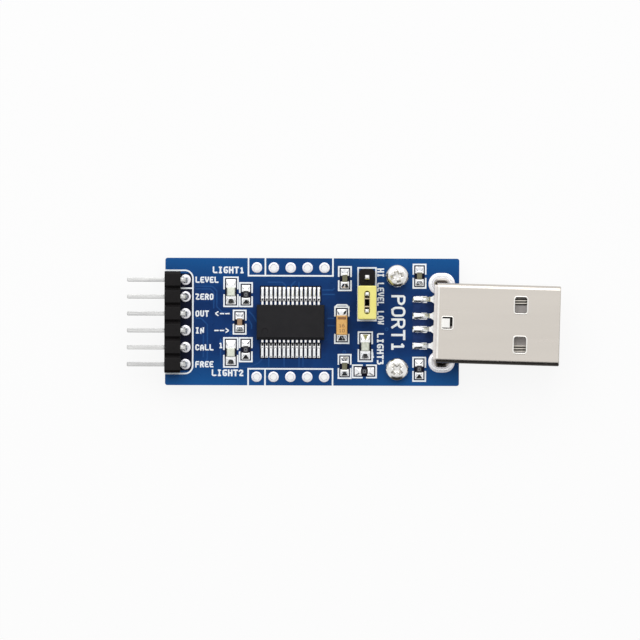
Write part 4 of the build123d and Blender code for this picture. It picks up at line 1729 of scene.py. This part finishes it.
@dataclass
class Plug(Assembly):
    """The plug: its folded shell, insulator, contacts, leads and solder."""

    edge: float = 0.05
    skew: float = 1.5
    window: Point = (11.81, 2.975)
    window_size: Point = (2.02, 2.6)
    window_corner: float = 0.42
    lance: float = 0.83
    lance_size: Point = (1.72, 1.93)
    lance_corner: float = 0.28
    bead: Point = (0.17, 0.022)
    rear_edge: float = -0.58
    rear_bead: tuple[float, float, float] = (5.35, 0.30, 0.022)

    def placing(self) -> Matrix:
        """The plug's own frame, with its origin between the legs, on the top face.

        Returns:
            What brings a point of that frame to the shared one.
        """
        legs = Solid.all_of("plug_leg_solder")
        middle = sum((leg.centre for leg in legs), Vector()) / len(legs)
        middle.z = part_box("plug_shell")[1].z
        return Matrix.Translation(middle) @ Matrix.Rotation(-math.radians(self.skew), 4, "Z")

    def beads(self) -> None:
        """The pressed edges of the windows and of the lanced tab, and the rolled rear edge, with a painted
        highlight.
        """
        placing = self.placing()
        x, aside = self.window
        made = []
        for place, size, corner in (
            ((x, aside), self.window_size, self.window_corner),
            ((x, -aside), self.window_size, self.window_corner),
            ((self.lance, 0.0), self.lance_size, self.lance_corner),
        ):
            rim = Bench.rim(size, corner, *self.bead)
            rim.matrix_world = placing @ Matrix.Translation(Vector((*place, 0)) * MM)
            made.append(rim)
        half, width, rise = self.rear_bead
        rear = [placing @ (Vector((self.rear_edge, y, 0)) * MM) for y in (-half, half)]
        made.append(Bench.line(rear, width, rise))
        piece = Bench.settle(Bench.joined("plug_beads", made), 60)
        # Painted highlight along the edges.
        self.paint.dress(piece, "edge_highlight", "plug_steel")

    def lead_joints(self) -> None:
        """Uneven mounds of solder along the four leads' feet, in two shapes that take turns."""
        calm = [
            Station(-0.02, 0.90, 0.08),
            Station(0.06, 1.06, 0.30, 0.01),
            Station(0.40, 1.00, 0.40, 0.03),
            Station(0.85, 1.06, 0.38, 0.0),
            Station(1.25, 0.94, 0.42, -0.04),
            Station(1.60, 0.86, 0.36, -0.02),
            Station(1.90, 0.78, 0.28, 0.02),
            Station(2.15, 0.70, 0.14, 0.0),
        ]
        rough = [
            Station(-0.02, 0.94, 0.08, 0.02),
            Station(0.07, 1.06, 0.34, 0.0),
            Station(0.35, 1.05, 0.44, -0.03),
            Station(0.75, 0.92, 0.36, 0.04),
            Station(1.15, 1.03, 0.44, 0.02),
            Station(1.55, 0.84, 0.38, 0.05),
            Station(1.85, 0.80, 0.26, -0.03),
            Station(2.15, 0.68, 0.14, 0.0),
        ]
        made = []
        for index, land in enumerate(Solid.all_of("plug_lands")):
            turn = Matrix.Rotation(-math.pi / 2, 4, "Z")
            foot = Matrix.Translation((land.low.x, land.centre.y, land.high.z))
            master = Bench.drawn("mound", rough if index % 2 else calm)
            made.append(Bench.copied("mound", master, [foot @ turn]))
        piece = Bench.settle(Bench.joined("plug_lead_joints", made), 60)
        self.paint.dress(piece, "solder", "solder", stands_for=["plug_lead_solder"])

    def build(self) -> None:
        """Dresses the plug."""
        shell = Bench.rounded("plug_shell", "plug_shell_rounded", self.edge)
        self.paint.dress(shell, "shell", "plug_steel", stands_for=["plug_shell"])
        self.beads()
        self.paint.coat("plug_insulator", "insulator")
        for index in range(1, 5):
            self.paint.coat(f"plug_contact_{index}", "contact")
        self.paint.coat("plug_lands", "tin")
        self.paint.coat("plug_leg_solder", "solder")
        self.lead_joints()


@dataclass
class Fasteners(Assembly):
    """The two pan-head screws with their cross recesses, and their nuts."""

    turns: Point = (15.0, 45.0)
    arm_length: Point = (2.15, 1.1)
    arm_width: Point = (0.68, 0.40)
    recess: Point = (1.4, 0.30)
    edge: float = 0.045
    nut_edge: float = 0.08
    profile: tuple[Point, ...] = (
        (0.03, 1.30),
        (0.50, 1.295),
        (0.95, 1.27),
        (1.25, 1.225),
        (1.43, 1.16),
        (1.56, 1.06),
        (1.66, 0.91),
        (1.72, 0.70),
        (1.745, 0.45),
        (1.745, 0.0),
        (1.00, 0.0),
        (1.00, -2.85),
        (0.85, -3.0),
        (0.03, -3.0),
    )

    def arm(self, angle: float) -> Piece:
        """One arm of the tool that cuts the recess: a bar, narrower at its foot.

        Args:
            angle: how far it is turned, in degrees.

        Returns:
            The arm.
        """
        high, low = self.recess
        bpy.ops.object.select_all(action="DESELECT")
        bpy.ops.mesh.primitive_cube_add(size=MM, location=(0, 0, (high + low) / 2 * MM))
        piece = bpy.context.object
        piece.scale = (self.arm_length[0], self.arm_width[0], high - low)
        bpy.ops.object.transform_apply(location=True, rotation=True, scale=True)
        Bench.edit(False)
        Bench.pick(lambda co: co.z < (high + low) / 2 * MM)
        narrow = (self.arm_length[1] / self.arm_length[0], self.arm_width[1] / self.arm_width[0], 1)
        bpy.ops.transform.resize(value=narrow, center_override=(0, 0, low * MM))
        Bench.leave()
        piece.rotation_euler.z = math.radians(angle)
        return piece

    def screw(self) -> Piece:
        """One screw at the origin, with its cross recess cut.

        Returns:
            The screw.
        """
        screw = Bench.settle(Bench.turned("screw", self.profile, Vector((0, 0, 0)), 64))
        for angle in (0.0, 90.0):
            tool = self.arm(angle)
            cut = screw.modifiers.new("recess", "BOOLEAN")
            cut.object = tool
            cut.operation = "DIFFERENCE"
            Bench.take(screw)
            bpy.ops.object.modifier_apply(modifier=cut.name)
            bpy.data.objects.remove(tool)
        rounding = screw.modifiers.new("rounding", "BEVEL")
        rounding.width = self.edge * MM
        rounding.segments = 2
        rounding.limit_method = "ANGLE"
        rounding.angle_limit = math.radians(32)
        bpy.ops.object.modifier_apply(modifier=rounding.name)
        return screw

    def build(self) -> None:
        """Makes the screws and dresses the nuts."""
        places = []
        heads = sorted(Solid.all_of("screws"), key=lambda solid: -solid.centre.y)
        for solid, turn in zip(heads, self.turns):
            place = Matrix.Translation((solid.centre.x, solid.centre.y, self.board.top))
            places.append(place @ Matrix.Rotation(math.radians(turn), 4, "Z"))
        screws = Bench.settle(Bench.copied("pan_head_screws", self.screw(), places), 32)
        self.paint.dress(screws, "screw", "plated_screw", stands_for=["screws"])
        nuts = Bench.rounded("nuts", "hexagon_nuts", self.nut_edge)
        self.paint.dress(nuts, "screw", "plated_screw", stands_for=["nuts"])


@dataclass
class Studio:
    """A pale floor, soft light from above and behind, and a camera straight above the board.

    Places and lengths are millimetres, angles are degrees.
    """

    board: Board
    distance: float = 2500.0
    view_width: float = 96.24
    aim: Point = (23.28, 0.365)
    roll: float = 0.20
    floor_size: float = 900.0
    floor_white: float = 0.88
    floor_front: Point = (-10.0, -4.0)
    sky_lean: float = 64.0
    sky_light: Point = (0.25, 0.95)
    front_dark: float = 0.02
    front_spread: float = 33.0
    lamp_place: tuple[float, float, float] = (5.0, 260.0, 330.0)
    lamp_size: float = 420.0
    lamp_watts: float = 0.8

    def camera(self) -> None:
        """The camera, which looks straight down on the board."""
        data = bpy.data.cameras.new("camera")
        data.sensor_width = 36.0
        data.lens = data.sensor_width * self.distance / self.view_width
        data.clip_start = 0.01
        data.clip_end = 10.0
        camera = bpy.data.objects.new("camera", data)
        bpy.context.scene.collection.objects.link(camera)
        camera.location = self.board.at(*self.aim, self.distance)
        camera.rotation_euler = (0, 0, math.radians(self.roll))
        bpy.context.scene.camera = camera

    def sky(self) -> None:
        """A white room, dark only in a narrow part in front of the board, where no lamp stands.

        The camera sees plain white. Metal sees the white room and its dark front, which gives it its edges.
        """
        world = bpy.data.worlds.new("studio")
        bpy.context.scene.world = world
        world.use_nodes = True
        tree = Tree(world.node_tree)
        way = tree.add("ShaderNodeTexCoord").outputs["Generated"]
        lean = math.radians(self.sky_lean)
        axis = (0.0, math.sin(lean), math.cos(lean))
        feeds = {0: way, 1: axis}
        along = tree.add("ShaderNodeVectorMath", feeds, operation="DOT_PRODUCT").outputs["Value"]
        soft = tree.remap(along, (-0.3, 0.6), self.sky_light)
        lit = tree.remap(along, (-0.06, 0.18), (self.front_dark, 1.0))
        across, ahead, _ = tree.parts(way)
        spread = math.tan(math.radians(self.front_spread))
        beyond = tree.sum(tree.absolute(across), tree.product(ahead, spread))
        beside = tree.remap(beyond, (0.0, 0.12), (0.0, 1.0))
        crisp = tree.add("ShaderNodeMath", {0: lit, 1: beside}, operation="MAXIMUM").outputs[0]
        rays = tree.add("ShaderNodeLightPath").outputs
        reflected = tree.add("ShaderNodeMix", {0: rays["Is Glossy Ray"], 2: soft, 3: crisp}).outputs[0]
        seen = tree.sum(rays["Is Camera Ray"], rays["Is Transmission Ray"])
        strength = tree.add("ShaderNodeMix", {0: seen, 2: reflected, 3: 1.0}).outputs[0]
        background = tree.add("ShaderNodeBackground", {0: (1.0, 1.0, 1.0, 1.0), 1: strength})
        tree.add("ShaderNodeOutputWorld", {0: background.outputs[0]})

    def floor(self) -> None:
        """A plain pale floor that keeps a faint shadow.

        Metal sees it white, and dark in front of the board.
        """
        bpy.ops.object.select_all(action="DESELECT")
        bpy.ops.mesh.primitive_plane_add(size=self.floor_size * MM, location=(0, 0, 0))
        floor = bpy.context.object
        floor.name = "floor"
        material = bpy.data.materials.new("pale_floor")
        material.use_nodes = True
        tree = Tree(material.node_tree)
        paper = tree.add("ShaderNodeBsdfDiffuse", {0: (0.86, 0.86, 0.86, 1.0)})
        rays = tree.add("ShaderNodeLightPath").outputs
        place = tree.add("ShaderNodeNewGeometry").outputs["Position"]
        dark, white = self.floor_front
        front = tree.remap(tree.parts(place)[1], (dark * MM, white * MM), (0.0, 1.0))
        strength = tree.add("ShaderNodeMix", {0: rays["Is Glossy Ray"], 2: 1.0, 3: front}).outputs[0]
        glow = tree.add("ShaderNodeEmission", {0: (1.0, 1.0, 1.0, 1.0), 1: strength})
        seen = tree.sum(rays["Is Camera Ray"], rays["Is Glossy Ray"], rays["Is Transmission Ray"])
        share = tree.product(seen, self.floor_white)
        mixed = tree.add("ShaderNodeMixShader", {0: share, 1: paper.outputs[0], 2: glow.outputs[0]})
        tree.add("ShaderNodeOutputMaterial", {0: mixed.outputs[0]})
        floor.data.materials.append(material)

    def lamp(self) -> None:
        """A square soft light that faces the board."""
        data = bpy.data.lights.new("key", "AREA")
        data.size = self.lamp_size * MM
        data.energy = self.lamp_watts
        lamp = bpy.data.objects.new("key", data)
        bpy.context.scene.collection.objects.link(lamp)
        lamp.location = self.board.at(*self.lamp_place)
        target = self.board.at(*self.aim)
        lamp.rotation_euler = (target - lamp.location).to_track_quat("-Z", "Y").to_euler()

    def build(self) -> None:
        """Sets up the studio."""
        bpy.context.scene.view_settings.view_transform = "Standard"
        self.camera()
        self.sky()
        self.floor()
        self.lamp()


ASSEMBLIES: tuple[type[Assembly], ...] = (
    Laminate, PlatedHoles, Lettering, ChipParts, ChipJoints, Headers, Controller, Plug, Fasteners,
)


def main() -> None:
    """Builds the looks of the module and its studio."""
    logging.basicConfig(level=logging.INFO, format="%(message)s")
    board = Board()
    paint = Paintbox()
    for assembly in ASSEMBLIES:
        assembly(board, paint).build()
        log.info("finished %s", assembly.__name__)
    Studio(board).build()


if __name__ == "__main__":
    main()
